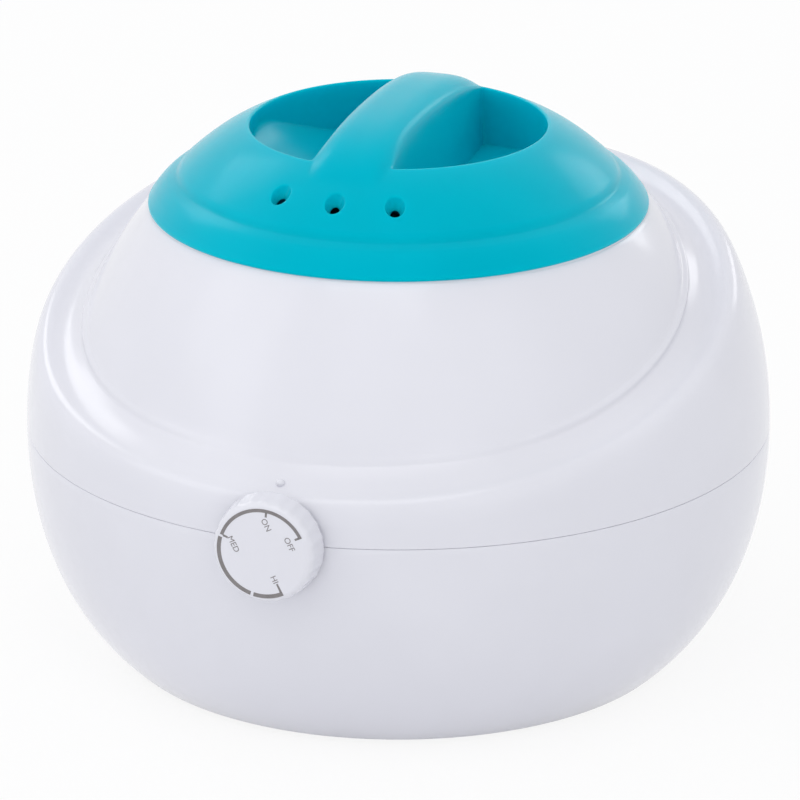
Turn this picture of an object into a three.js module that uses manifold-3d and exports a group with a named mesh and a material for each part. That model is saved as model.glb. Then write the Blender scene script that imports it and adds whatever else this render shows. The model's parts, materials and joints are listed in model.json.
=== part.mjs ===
// Wax warmer with a lift-off lid, a removable wax pot and a rotary heat control.
// Millimetres, +Z up, front towards -Y, standing on its feet at Z = 0.
// Angles round the body are measured from the front and grow towards +X.
import * as THREE from 'three';
import { mergeVertices } from 'three/addons/utils/BufferGeometryUtils.js';
import Module from 'manifold-3d';

const wasm = await Module();
wasm.setup();

// Driving dimensions: general
const GAP = 0.3;
const HOUSING_WALL = 3;
const BODY_SEGMENTS = 36;
const INNER_SEGMENTS = 20;
const SCREW_SEGMENTS = 8;
const OVERCUT = 1;

// Lower housing: a bowl whose side is one curve from the base edge up to the parting line
const BODY_RADIUS = 120;
const BASE_SETBACK = 29.5;
const BASE_Z = 1.5;
const BASE_RECESS_INSET = 13.5;
const BASE_RECESS = 1.5;
const BOWL_TOE_OUT = 11.3;
const BOWL_TOE_UP = 9.8;
const BOWL_KNEE_DROP = 43.8;
const TONGUE_HEIGHT = 2.5;
const TONGUE_WIDTH = 1.3;
const TONGUE_ROOT = 2;

// Upper housing: the wall leans in above the parting line and ends in a tilted shoulder ridge
const UPPER_HEIGHT = 72.2;
const LEAN_RADIUS = 128;
const SHOULDER_RISE = 44;
const SHOULDER_TILT = 29;
const SHOULDER_DIP = 2.2;
const SHOULDER_TURN = 2.3;
const SHOULDER_SETBACK = 2;
const LEDGE_WIDTH = 13.5;
const LEDGE_WIDENING = 3.1;
const LEDGE_RISE = 1.9;
const LEDGE_SLOPE = 4.3;
const CHANNEL_FRONT = 0.3;
const CHANNEL_DEPTH = 4;
const RIDGE_ROUND = 5;
const RIDGE_CREST = 2;
const PANEL_BEAD = 1.1;
const BEAD_WIDTH = 2.6;
const PANEL_CROWN = 1;
const SEAT_WIDTH = 3.4;
const RECESS_MARGIN = 9.5;
const RECESS_DEPTH = 7;
const RECESS_LEDGE_MARGIN = 3.3;
const RECESS_LEDGE = 3;
const INDEX_DOT_RADIUS = 2.4;
const INDEX_DOT_HEIGHT = 1.4;
const INDEX_DOT_SHARE = 0.3;

// Housing screws, in four columns
const COLUMN_INSET = 35.5;
const COLUMN_RADIUS = 6;
const COLUMN_SHELF = 13;
const HOUSING_SCREW_RADIUS = 2;
const HOUSING_SCREW_LENGTH = 26;
const HOUSING_SCREW_HEAD = 3.9;

// Feet
const FOOT_INSET = 11;
const FOOT_RADIUS = 8;
const FOOT_PIN_RADIUS = 2.2;
const FOOT_BEVEL = 1;
const FOOT_DRAFT = 0.4;
const FOOT_PIN_END = 0.6;

// Lid
const LID_OVERHANG = 0.6;
const LID_WALL = 2.5;
const LID_LIP = 0.8;
const BAND_IN = 8.5;
const BAND_UP = 9.1;
const BAND_FLARE = 0.5;
const DOME_RISE = 22.3;
const DOME_SHOULDER_IN = 18.7;
const DOME_SHOULDER_UP = 18.1;
const DOME_FLAT_SHARE = 0.5;
const LID_SKIRT_CLEARANCE = 0.9;
const LID_SKIRT_WIDTH = 2;
const LID_SKIRT_DEPTH = 3.2;
const VENT_RADIUS = 3;
const VENT_INSET = 18.5;
const VENT_SPACING = 17.7;
const VENT_COUNT = 3;
const POCKET_INSET = 32.5;
const POCKET_DEPTH = 19;
const POCKET_DRAFT = 0.08;
const FLANK_DRAFT = 0.2;
const BAR_WIDTH = 26;
const BAR_RISE = 3;
const BAR_EDGE_SINK = 0.6;
const BAR_EDGE_INSET = 0.4;
const BAR_OVERRUN = 9;
const BAR_FLARE_FRONT = 9;
const BAR_FLARE_BACK = 3;

// Heating well and wax pot
const CONTROL_ROOM = 53.5;
const WELL_WALL = 1.5;
const WELL_DEPTH = 95;
const WELL_FLOOR = 2;
const WELL_CORNER = 5;
const FLANGE_CLEARANCE = 0.8;
const FLANGE_THICKNESS = 1.5;
const SEAL_THICKNESS = 1;
const POT_CLEARANCE = 2;
const POT_TAPER = 2.5;
const POT_WALL = 1;
const POT_CORNER = 7;
const POT_RIM_WIDTH = 5.4;
const POT_RIM_HEIGHT = 2.8;
const POT_BASE_CLEARANCE = 0.6;
const TAB_WIDTH = 22;
const TAB_HEIGHT = 9;
const TAB_THICKNESS = 1.6;
const WELL_SCREW_MARGIN = 6.1;
const WELL_SCREW_RADIUS = 1.5;
const WELL_SCREW_LENGTH = 11;
const WELL_SCREW_HEAD = 2.6;
const WELL_BOSS_RADIUS = 3.6;
const WELL_BOSS_HEIGHT = 10;

// Heater, insulation and heat shield
const BAND_THICKNESS = 1.6;
const HEATER_BAND_LOW = 8;
const HEATER_BAND_HEIGHT = 54;
const BAND_GAP = 7;
const BAND_LUG = 9;
const CLAMP_SCREW_RADIUS = 1.5;
const CLAMP_SCREW_HEAD = 2.8;
const CLAMP_NUT_RADIUS = 3.2;
const CLAMP_NUT_THICKNESS = 2.2;
const SLEEVE_THICKNESS = 5.4;
const SLEEVE_SLOT = 30;
const SLEEVE_OVERHANG = 2;
const WIRING_SPACE = 31;
const SHIELD_MARGIN = 5.5;
const SHIELD_THICKNESS = 1;
const SHIELD_RIM = 6;
const SHIELD_POST_INSET = 6;
const SHIELD_POST_RADIUS = 4;
const SHIELD_POSTS = 3;
const PAD_INSET = 6.5;
const PAD_THICKNESS = 9.7;
const CUTOUT_RADIUS = 8;
const CUTOUT_OFFSET = 20;
const CUTOUT_SPREAD = 4;

// Control: knob, thermostat and bracket, measured outwards from the body's widest circle
const KNOB_RADIUS = 17;
const KNOB_HEIGHT = 9;
const KNOB_STANDOFF = 0.6;
const KNOB_WALL = 1.8;
const KNOB_TAPER = 0.7;
const KNOB_EDGE = 1.2;
const KNOB_GRIPS = 24;
const KNOB_GRIP_DEPTH = 0.35;
const KNOB_HUB = 5.5;
const KNOB_SOCKET_ROOF = 3;
const SHAFT_RADIUS = 3;
const SHAFT_FLAT = 0.8;
const SHAFT_TAIL = 7;
const SHAFT_HOLE = 4.3;
const SHAFT_HOLE_REACH = 15;
const BRACKET_INSET = 20.5;
const BRACKET_THICKNESS = 1.5;
const BRACKET_WIDTH = 38;
const BRACKET_FOOT = 15;
const BRACKET_FOOT_Z = 30;
const BRACKET_POST_SPAN = 26;
const BRACKET_POST_RADIUS = 4;
const BUSH_RADIUS = 4.8;
const BUSH_LENGTH = 9;
const NUT_RADIUS = 8;
const NUT_THICKNESS = 3;
const THERMOSTAT_SIZE = 28;
const THERMOSTAT_DEPTH = 17;
const THERMOSTAT_CORNER = 4;
const BLADE_WIDTH = 6.3;
const BLADE_THICKNESS = 0.8;
const BLADE_LENGTH = 8;
const BLADE_SPREAD = 7;
const SMALL_SCREW_RADIUS = 1.5;
const SMALL_SCREW_HEAD = 3.1;
const SMALL_SCREW_HEAD_HEIGHT = 2.2;
const SMALL_SCREW_LENGTH = 10;

// Terminal block and cable gland
const BLOCK_INSET = 24;
const BLOCK_WIDTH = 40;
const BLOCK_DEPTH = 16;
const BLOCK_HEIGHT = 15;
const BLOCK_TOWER = 12;
const BLOCK_STEP = 5;
const BLOCK_ENTRY_RADIUS = 2;
const BLOCK_POST = 8;
const BLOCK_POST_RADIUS = 5;
const GLAND_Z = 44;
const GLAND_RADIUS = 6;
const GLAND_FLANGE = 9;
const GLAND_FLANGE_THICKNESS = 2.4;
const GLAND_BORE = 3.6;
const GLAND_WALL = 5;
const GLAND_INSET = 1;
const GLAND_MARGIN = 1;
const GLAND_PAD = 3;

// Surfaces
const plastic = (color) => new THREE.MeshStandardMaterial({ color, roughness: 0.32, metalness: 0 });
const metal = (color, roughness) => new THREE.MeshStandardMaterial({ color, roughness, metalness: 1 });
const WHITE_PLASTIC = plastic(0xe6e6ec);
const TEAL_PLASTIC = plastic(0x01b5c6);
const BLACK_PLASTIC = plastic(0x2a2a2c);
const CERAMIC = new THREE.MeshStandardMaterial({ color: 0xe9e2d2, roughness: 0.5, metalness: 0 });
const ALUMINIUM = metal(0xc9cbce, 0.35);
const STEEL = metal(0x9ea2a6, 0.3);
const MICA = new THREE.MeshStandardMaterial({ color: 0xb7a98a, roughness: 0.5, metalness: 0.2 });
const GLASS_FIBRE = new THREE.MeshStandardMaterial({ color: 0xece7d8, roughness: 0.95, metalness: 0 });
const RUBBER = new THREE.MeshStandardMaterial({ color: 0x55565a, roughness: 0.8, metalness: 0 });
const SILICONE = new THREE.MeshStandardMaterial({ color: 0xb5452f, roughness: 0.6, metalness: 0 });

// Geometry helpers
function solidOf(geometry) {
  const bare = new THREE.BufferGeometry();
  const flat = geometry.index ? geometry.toNonIndexed() : geometry;
  bare.setAttribute('position', flat.getAttribute('position').clone());
  const merged = mergeVertices(bare, 1e-4);
  return new wasm.Manifold(new wasm.Mesh({
    numProp: 3,
    vertProperties: new Float32Array(merged.getAttribute('position').array),
    triVerts: new Uint32Array(merged.index.array),
  }));
}

function geometryOf(solid) {
  const mesh = solid.getMesh();
  const geometry = new THREE.BufferGeometry();
  geometry.setAttribute('position', new THREE.BufferAttribute(new Float32Array(mesh.vertProperties), 3));
  geometry.setIndex(new THREE.BufferAttribute(new Uint32Array(mesh.triVerts), 1));
  geometry.computeVertexNormals();
  return geometry;
}

// Profile points are [radius, height], anticlockwise with the radius to the right.
function lathe(points, segments = INNER_SEGMENTS) {
  const profile = points.map(([radius, height]) => new THREE.Vector2(radius, height));
  return solidOf(new THREE.LatheGeometry(profile, segments).rotateX(Math.PI / 2));
}

function ring(inner, outer, low, high, segments = INNER_SEGMENTS) {
  return lathe([[outer, low], [outer, high], [inner, high], [inner, low], [outer, low]], segments);
}

// A solid swept round Z whose profile changes with the angle from the front.
function sweep(profileAt, segments) {
  const positions = [];
  const faces = [];
  let count = 0;
  for (let i = 0; i < segments; i += 1) {
    const angle = (i / segments) * 2 * Math.PI;
    const profile = profileAt(angle);
    count = profile.length;
    for (const [radius, height] of profile) {
      positions.push(radius * Math.sin(angle), -radius * Math.cos(angle), height);
    }
  }
  for (let i = 0; i < segments; i += 1) {
    const here = i * count;
    const next = ((i + 1) % segments) * count;
    for (let j = 0; j + 1 < count; j += 1) {
      faces.push(here + j, next + j, next + j + 1);
      faces.push(here + j, next + j + 1, here + j + 1);
    }
  }
  const geometry = new THREE.BufferGeometry();
  geometry.setAttribute('position', new THREE.Float32BufferAttribute(positions, 3));
  geometry.setIndex(faces);
  const merged = mergeVertices(geometry, 1e-4);
  const kept = [];
  const index = merged.index.array;
  for (let k = 0; k < index.length; k += 3) {
    const [a, b, c] = [index[k], index[k + 1], index[k + 2]];
    if (a !== b && b !== c && c !== a) kept.push(a, b, c);
  }
  merged.setIndex(kept);
  return solidOf(merged);
}

function rod(radius, length, segments = SCREW_SEGMENTS, topRadius = radius) {
  const shape = new THREE.CylinderGeometry(topRadius, radius, length, segments);
  return solidOf(shape.rotateX(Math.PI / 2).translate(0, 0, length / 2));
}

// A hole that clears a round piece of the given radius by the common gap, flat sides included
function bore(radius, length, segments = SCREW_SEGMENTS) {
  return rod((radius + GAP) / Math.cos(Math.PI / segments), length, segments);
}

function extrude(shape, depth, curveSegments = 8) {
  return solidOf(new THREE.ExtrudeGeometry(shape, { depth, bevelEnabled: false, curveSegments }));
}

function roundedRectangle(width, height, corner) {
  const [x, y] = [width / 2, height / 2];
  const shape = new THREE.Shape();
  shape.moveTo(x - corner, -y);
  shape.absarc(x - corner, -y + corner, corner, -Math.PI / 2, 0);
  shape.absarc(x - corner, y - corner, corner, 0, Math.PI / 2);
  shape.absarc(-x + corner, y - corner, corner, Math.PI / 2, Math.PI);
  shape.absarc(-x + corner, -y + corner, corner, Math.PI, 1.5 * Math.PI);
  return shape;
}

const onCircle = (radius, angle) => [radius * Math.sin(angle), -radius * Math.cos(angle)];
const quarterTurns = [1, 3, 5, 7].map((k) => (k * Math.PI) / 4);
const mix = (a, b, t) => a + (b - a) * t;

// Points of a Bezier curve in the [radius, height] plane
function bezier(controls, steps) {
  const vectors = controls.map(([radius, height]) => new THREE.Vector2(radius, height));
  const curve = controls.length === 3
    ? new THREE.QuadraticBezierCurve(...vectors)
    : new THREE.CubicBezierCurve(...vectors);
  return curve.getPoints(steps).map((point) => [point.x, point.y]);
}

// The same profile moved inwards by a wall thickness, square to each point's own direction
function inset(points, thickness) {
  return points.map((point, i) => {
    const before = points[Math.max(i - 1, 0)];
    const after = points[Math.min(i + 1, points.length - 1)];
    const along = new THREE.Vector2(after[0] - before[0], after[1] - before[1]).normalize();
    return [point[0] - along.y * thickness, point[1] + along.x * thickness];
  });
}

// Scene graph: one named mesh for each piece
const warmer = new THREE.Group();
function piece(name, solid, material, parent = warmer) {
  const mesh = new THREE.Mesh(geometryOf(solid), material);
  mesh.name = name;
  parent.add(mesh);
  return mesh;
}

// Radii that follow from the body and from the room its control needs beside the well
const baseRadius = BODY_RADIUS - BASE_SETBACK;
const baseRecessRadius = baseRadius - BASE_RECESS_INSET;
const footCircle = baseRecessRadius - FOOT_INSET;
const columnCircle = BODY_RADIUS - COLUMN_INSET;
const wellRadius = BODY_RADIUS - CONTROL_ROOM;
const wellScrewCircle = wellRadius + WELL_SCREW_MARGIN;
const recessRadius = wellRadius + RECESS_MARGIN;
const recessLedgeRadius = wellRadius + RECESS_LEDGE_MARGIN;
const seatRadius = recessRadius + SEAT_WIDTH;
const lidRadius = seatRadius + LID_OVERHANG;
const pocketRadius = lidRadius - POCKET_INSET;
const ventCircle = lidRadius - VENT_INSET;
const shieldRadius = wellRadius + SHIELD_MARGIN;
const shieldPostCircle = shieldRadius - SHIELD_POST_INSET;
const padRadius = wellRadius - PAD_INSET;
const blockY = shieldRadius - BLOCK_INSET;

// Heights, stacked from the floor through shield, pad and well up to the lid's seat
const floorTop = BASE_Z + BASE_RECESS + HOUSING_WALL;
const shieldZ = floorTop + WIRING_SPACE;
const shieldTop = shieldZ + SHIELD_THICKNESS;
const padZ = shieldTop + GAP;
const wellBase = padZ + PAD_THICKNESS + GAP;
const wellFloorZ = wellBase + WELL_FLOOR;
const flangeTop = wellFloorZ + WELL_DEPTH;
const flangeZ = flangeTop - FLANGE_THICKNESS;
const sealZ = flangeZ - GAP - SEAL_THICKNESS;
const recessZ = sealZ - GAP;
const seatZ = recessZ + RECESS_DEPTH;
const partingZ = seatZ - UPPER_HEIGHT;
const lowerTop = partingZ - GAP / 2;
const upperBase = partingZ + GAP / 2;

// Lower housing
const bowlSide = (steps) => bezier([
  [baseRadius, BASE_Z],
  [baseRadius + BOWL_TOE_OUT, BASE_Z + BOWL_TOE_UP],
  [BODY_RADIUS, partingZ - BOWL_KNEE_DROP],
  [BODY_RADIUS, lowerTop],
], steps);

function columnCutter(length) {
  const head = bore(HOUSING_SCREW_HEAD, length - COLUMN_SHELF);
  const shank = bore(HOUSING_SCREW_RADIUS, length + HOUSING_SCREW_LENGTH);
  return head.add(shank);
}

const shieldPostAngles = Array.from({ length: SHIELD_POSTS }, (_, k) => (2 * Math.PI * k) / SHIELD_POSTS);
const bracketPostY = -(BODY_RADIUS - BRACKET_INSET - BRACKET_FOOT / 2);
const smallHoleDepth = SMALL_SCREW_LENGTH + 2 * OVERCUT;

function makeLowerHousing() {
  const recessTop = BASE_Z + BASE_RECESS;
  const outline = [
    [0, recessTop],
    [baseRecessRadius - BASE_RECESS, recessTop],
    [baseRecessRadius, BASE_Z],
    ...bowlSide(8),
    [0, lowerTop],
  ];
  const outer = lathe(outline, BODY_SEGMENTS);
  const innerSide = inset(bowlSide(5), HOUSING_WALL).filter(([, height]) => height > floorTop + GAP);
  const hollow = lathe([
    [0, floorTop],
    [innerSide[0][0] - HOUSING_WALL, floorTop],
    ...innerSide,
    [BODY_RADIUS - HOUSING_WALL, lowerTop + OVERCUT],
    [0, lowerTop + OVERCUT],
  ], BODY_SEGMENTS);
  const inside = BODY_RADIUS - HOUSING_WALL;
  const tongue = ring(
    inside,
    inside + TONGUE_WIDTH,
    lowerTop - TONGUE_ROOT,
    lowerTop + TONGUE_HEIGHT,
    BODY_SEGMENTS,
  );
  const blockPost = rod(BLOCK_POST_RADIUS, floorTop + BLOCK_POST - recessTop);
  let posts = blockPost.translate(0, blockY, recessTop);
  for (const angle of quarterTurns) {
    const [x, y] = onCircle(columnCircle, angle);
    posts = posts.add(rod(COLUMN_RADIUS, lowerTop - BASE_Z).translate(x, y, BASE_Z));
  }
  for (const angle of shieldPostAngles) {
    const [x, y] = onCircle(shieldPostCircle, angle);
    const height = shieldZ - GAP - recessTop;
    posts = posts.add(rod(SHIELD_POST_RADIUS, height).translate(x, y, recessTop));
  }
  for (const side of [-1, 1]) {
    const x = (side * BRACKET_POST_SPAN) / 2;
    const height = BRACKET_FOOT_Z - GAP - recessTop;
    posts = posts.add(rod(BRACKET_POST_RADIUS, height).translate(x, bracketPostY, recessTop));
  }
  const glandPad = rod(GLAND_FLANGE + GLAND_PAD, BODY_RADIUS, 16).rotate([-90, 0, 0])
    .translate(0, glandInner, GLAND_Z);
  const shell = outer.subtract(hollow).add(posts.add(glandPad).intersect(outer)).add(tongue);
  let cutters = glandCutter();
  for (const angle of quarterTurns) {
    const [x, y] = onCircle(columnCircle, angle);
    cutters = cutters.add(columnCutter(lowerTop).translate(x, y, 0));
    const [fx, fy] = onCircle(footCircle, angle);
    cutters = cutters.add(bore(FOOT_PIN_RADIUS, floorTop + OVERCUT).translate(fx, fy, 0));
  }
  for (const angle of shieldPostAngles) {
    const [x, y] = onCircle(shieldPostCircle, angle);
    const holeZ = shieldZ - smallHoleDepth + OVERCUT;
    const hole = bore(SMALL_SCREW_RADIUS, smallHoleDepth).translate(x, y, holeZ);
    cutters = cutters.add(hole);
  }
  for (const side of [-1, 1]) {
    const x = (side * BRACKET_POST_SPAN) / 2;
    const holeZ = BRACKET_FOOT_Z - smallHoleDepth + OVERCUT;
    const hole = bore(SMALL_SCREW_RADIUS, smallHoleDepth).translate(x, bracketPostY, holeZ);
    cutters = cutters.add(hole);
  }
  const blockHole = bore(SMALL_SCREW_RADIUS, BLOCK_POST).translate(0, blockY, floorTop + OVERCUT);
  cutters = cutters.add(blockHole).add(shaftHole());
  return shell.subtract(cutters);
}

// Gland: its flanges lie on a flat pad in the back wall
function bowlRadiusAt(height) {
  const line = bowlSide(24);
  const above = line.findIndex(([, z]) => z >= height);
  const [r0, z0] = line[above - 1];
  const [r1, z1] = line[above];
  return mix(r0, r1, (height - z0) / (z1 - z0));
}
const glandOuter = bowlRadiusAt(GLAND_Z - GLAND_FLANGE - GLAND_MARGIN) - GLAND_INSET;
const glandInner = glandOuter - GLAND_WALL;
function glandCutter() {
  const seat = rod(GLAND_FLANGE + GLAND_MARGIN, BODY_RADIUS, 16).translate(0, 0, glandOuter);
  const hole = rod(GLAND_RADIUS, 2 * GLAND_WALL, 16).translate(0, 0, glandInner - OVERCUT);
  return seat.add(hole).rotate([-90, 0, 0]).translate(0, 0, GLAND_Z);
}

function shaftHole() {
  const hole = rod(SHAFT_HOLE, 2 * SHAFT_HOLE_REACH, 16).rotate([90, 0, 0]);
  return hole.translate(0, -BODY_RADIUS + SHAFT_HOLE_REACH, partingZ);
}

piece('lower_housing', makeLowerHousing(), WHITE_PLASTIC);

// Upper housing
const wallRadius = (height) => BODY_RADIUS - (height - partingZ) ** 2 / (2 * LEAN_RADIUS);

function ridgeAt(angle) {
  const height = partingZ + SHOULDER_RISE - SHOULDER_TILT * Math.cos(angle)
    - SHOULDER_DIP * Math.cos(2 * angle) + SHOULDER_TURN * Math.cos(3 * angle);
  return [wallRadius(height) - SHOULDER_SETBACK, height];
}

function panelFootAt(angle) {
  const [radius, height] = ridgeAt(angle);
  const width = LEDGE_WIDTH - LEDGE_WIDENING * Math.cos(angle);
  return [radius - width, height + LEDGE_RISE + LEDGE_SLOPE * Math.cos(angle)];
}

// How finely the outside and the hollow of the upper housing follow its side
const OUTSIDE = { wall: 3, ridge: 3, channel: [0.25, 0.5, 0.75], bead: PANEL_BEAD, panel: [0.35, 0.65] };
const HOLLOW = { wall: 2, ridge: 2, channel: [0.5], bead: 0, panel: [] };

// Side of the upper housing from the parting line up to the lid's seat
function upperSide(angle, detail) {
  const [ridgeRadius, ridgeZ] = ridgeAt(angle);
  const [footRadius, footZ] = panelFootAt(angle);
  const towardsBack = (1 - Math.cos(angle)) / 2;
  const points = [];
  const turnZ = ridgeZ - RIDGE_ROUND;
  for (let i = 0; i < detail.wall; i += 1) {
    const height = mix(upperBase, turnZ, i / detail.wall);
    points.push([wallRadius(height), height]);
  }
  const crestRadius = ridgeRadius - RIDGE_CREST;
  points.push(...bezier([
    [wallRadius(turnZ), turnZ],
    [wallRadius(ridgeZ - 1), ridgeZ + 0.4],
    [crestRadius, ridgeZ],
  ], detail.ridge));
  const channel = CHANNEL_FRONT + CHANNEL_DEPTH * towardsBack;
  for (const t of detail.channel) {
    const radius = mix(crestRadius, footRadius, t);
    points.push([radius, mix(ridgeZ, footZ, t) - channel * Math.sin(Math.PI * t)]);
  }
  const wall = new THREE.Vector2(seatRadius - footRadius, seatZ - footZ);
  const length = wall.length();
  wall.normalize();
  const bead = detail.bead * Math.min(1, 2 * towardsBack);
  const onWall = (distance, proud) => [
    footRadius + wall.x * distance + wall.y * proud,
    footZ + wall.y * distance - wall.x * proud,
  ];
  points.push(onWall(0, 0));
  if (detail.bead > 0) points.push(onWall(BEAD_WIDTH / 2, bead), onWall(BEAD_WIDTH, 0));
  for (const t of detail.panel) points.push(onWall(length * t, PANEL_CROWN));
  points.push([seatRadius, seatZ]);
  return points;
}

function wellScrewPlaces() {
  return [0, 2, 4, 6].map((k) => onCircle(wellScrewCircle, ((k + 0.5) * Math.PI) / 4));
}

function makeUpperHousing() {
  const outsideAt = (angle) => [[0, upperBase], ...upperSide(angle, OUTSIDE), [0, seatZ]];
  const outer = sweep(outsideAt, BODY_SEGMENTS);
  const ceiling = recessZ - RECESS_LEDGE;
  const hollowAt = (angle) => {
    const side = inset(upperSide(angle, HOLLOW), HOUSING_WALL);
    side[0] = [side[0][0], upperBase - OVERCUT];
    return [[0, upperBase - OVERCUT], ...side, [0, seatZ]];
  };
  const slab = rod(BODY_RADIUS, ceiling, BODY_SEGMENTS);
  const hollow = sweep(hollowAt, BODY_SEGMENTS).intersect(slab);
  const inside = BODY_RADIUS - HOUSING_WALL;
  const rebateRadius = inside + TONGUE_WIDTH + GAP;
  const rebate = ring(
    inside - TONGUE_ROOT,
    rebateRadius,
    upperBase - OVERCUT,
    upperBase + TONGUE_HEIGHT,
    BODY_SEGMENTS,
  );
  let bosses = null;
  let holes = shaftHole().add(rebate);
  for (const angle of quarterTurns) {
    const [x, y] = onCircle(columnCircle, angle);
    const boss = rod(COLUMN_RADIUS, seatZ).translate(x, y, upperBase);
    bosses = bosses ? bosses.add(boss) : boss;
    const depth = HOUSING_SCREW_LENGTH - COLUMN_SHELF + 3 * OVERCUT;
    holes = holes.add(bore(HOUSING_SCREW_RADIUS, depth).translate(x, y, upperBase - OVERCUT));
  }
  for (const [x, y] of wellScrewPlaces()) {
    const boss = rod(WELL_BOSS_RADIUS, WELL_BOSS_HEIGHT + OVERCUT);
    bosses = bosses.add(boss.translate(x, y, ceiling - WELL_BOSS_HEIGHT));
    const depth = WELL_SCREW_LENGTH + 2 * OVERCUT;
    holes = holes.add(bore(WELL_SCREW_RADIUS, depth).translate(x, y, recessZ - depth + OVERCUT));
  }
  const opening = rod(recessLedgeRadius, seatZ, BODY_SEGMENTS)
    .translate(0, 0, upperBase - OVERCUT);
  const recess = rod(recessRadius, RECESS_DEPTH + OVERCUT, BODY_SEGMENTS).translate(0, 0, recessZ);
  const [dotRadius, dotZ] = indexDotPlace();
  const dot = solidOf(new THREE.SphereGeometry(1, 12, 8));
  const indexDot = dot.scale([INDEX_DOT_RADIUS, INDEX_DOT_RADIUS, INDEX_DOT_HEIGHT])
    .translate(0, -dotRadius, dotZ);
  return outer.subtract(hollow).add(bosses.intersect(outer)).add(indexDot)
    .subtract(opening.add(recess).add(holes));
}

function indexDotPlace() {
  const [ridgeRadius, ridgeZ] = ridgeAt(0);
  const [footRadius, footZ] = panelFootAt(0);
  const radius = mix(ridgeRadius - RIDGE_CREST, footRadius, INDEX_DOT_SHARE);
  return [radius, mix(ridgeZ, footZ, INDEX_DOT_SHARE) - CHANNEL_FRONT];
}

piece('upper_housing', makeUpperHousing(), WHITE_PLASTIC);

// Housing screws and feet
function panScrew(radius, headRadius, headHeight, length) {
  return lathe([
    [0, -length],
    [radius, -length + 0.6],
    [radius, 0],
    [headRadius, 0],
    [headRadius, headHeight * 0.55],
    [headRadius * 0.75, headHeight],
    [0, headHeight],
  ], SCREW_SEGMENTS);
}

const housingScrew = panScrew(HOUSING_SCREW_RADIUS, HOUSING_SCREW_HEAD, 2.8, HOUSING_SCREW_LENGTH);
const foot = lathe([
  [0, 0],
  [FOOT_RADIUS - FOOT_BEVEL, 0],
  [FOOT_RADIUS, FOOT_BEVEL],
  [FOOT_RADIUS - FOOT_DRAFT, BASE_Z + BASE_RECESS - GAP],
  [FOOT_PIN_RADIUS, BASE_Z + BASE_RECESS - GAP],
  [FOOT_PIN_RADIUS, floorTop + FOOT_PIN_END],
  [0, floorTop + FOOT_PIN_END],
], 10);
quarterTurns.forEach((angle, k) => {
  const [x, y] = onCircle(columnCircle, angle);
  const screw = piece(`housing_screw_${k + 1}`, housingScrew, STEEL);
  screw.rotation.x = Math.PI;
  screw.position.set(x, y, lowerTop - COLUMN_SHELF - GAP);
  const [fx, fy] = onCircle(footCircle, angle);
  piece(`foot_${k + 1}`, foot, RUBBER).position.set(fx, fy, 0);
});

// Seal, heating well and its screws
const flangeRadius = recessRadius - FLANGE_CLEARANCE;
const wellOuter = wellRadius + WELL_WALL;

function makeSeal() {
  let seal = ring(recessLedgeRadius + GAP, flangeRadius, sealZ, sealZ + SEAL_THICKNESS);
  for (const [x, y] of wellScrewPlaces()) {
    seal = seal.subtract(bore(WELL_SCREW_RADIUS, 4).translate(x, y, sealZ - 1));
  }
  return seal;
}
piece('seal_ring', makeSeal(), SILICONE);

function cup(radius, wall, floorZ, floor, corner, taper, top) {
  const low = radius - taper;
  return [
    [0, floorZ - floor],
    ...bezier([[low + wall - corner, floorZ - floor], [low + wall, floorZ - floor],
      [low + wall, floorZ - floor + corner]], 3),
    ...top,
    ...bezier([[low, floorZ + corner - wall], [low, floorZ], [low - corner + wall, floorZ]], 3),
    [0, floorZ],
  ];
}

function makeWell() {
  const flange = [
    [wellOuter, flangeZ],
    [flangeRadius, flangeZ],
    [flangeRadius, flangeTop],
    [wellRadius + 1, flangeTop],
    [wellRadius, flangeTop - 1],
  ];
  let well = lathe(cup(wellRadius, WELL_WALL, wellFloorZ, WELL_FLOOR, WELL_CORNER, 0, flange));
  for (const [x, y] of wellScrewPlaces()) {
    const sink = rod(WELL_SCREW_RADIUS + 2 * GAP, FLANGE_THICKNESS + 0.1, SCREW_SEGMENTS,
      WELL_SCREW_HEAD + 2 * GAP);
    const hole = bore(WELL_SCREW_RADIUS, 4);
    well = well.subtract(sink.translate(x, y, flangeZ)).subtract(hole.translate(x, y, flangeZ - 1));
  }
  return well;
}
piece('heating_well', makeWell(), ALUMINIUM);

const wellScrew = lathe([
  [0, -WELL_SCREW_LENGTH],
  [WELL_SCREW_RADIUS, -WELL_SCREW_LENGTH + 1],
  [WELL_SCREW_RADIUS, -FLANGE_THICKNESS],
  [WELL_SCREW_HEAD, -0.1],
  [WELL_SCREW_HEAD, 0],
  [0, 0],
], SCREW_SEGMENTS);
wellScrewPlaces().forEach(([x, y], k) => {
  piece(`well_screw_${k + 1}`, wellScrew, STEEL).position.set(x, y, flangeTop);
});

// Wax pot with a rolled rim and two upright grip tabs
const potRadius = wellRadius - POT_CLEARANCE;
const potRimZ = flangeTop + GAP;
const potFloorZ = wellFloorZ + POT_BASE_CLEARANCE + POT_WALL;

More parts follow.
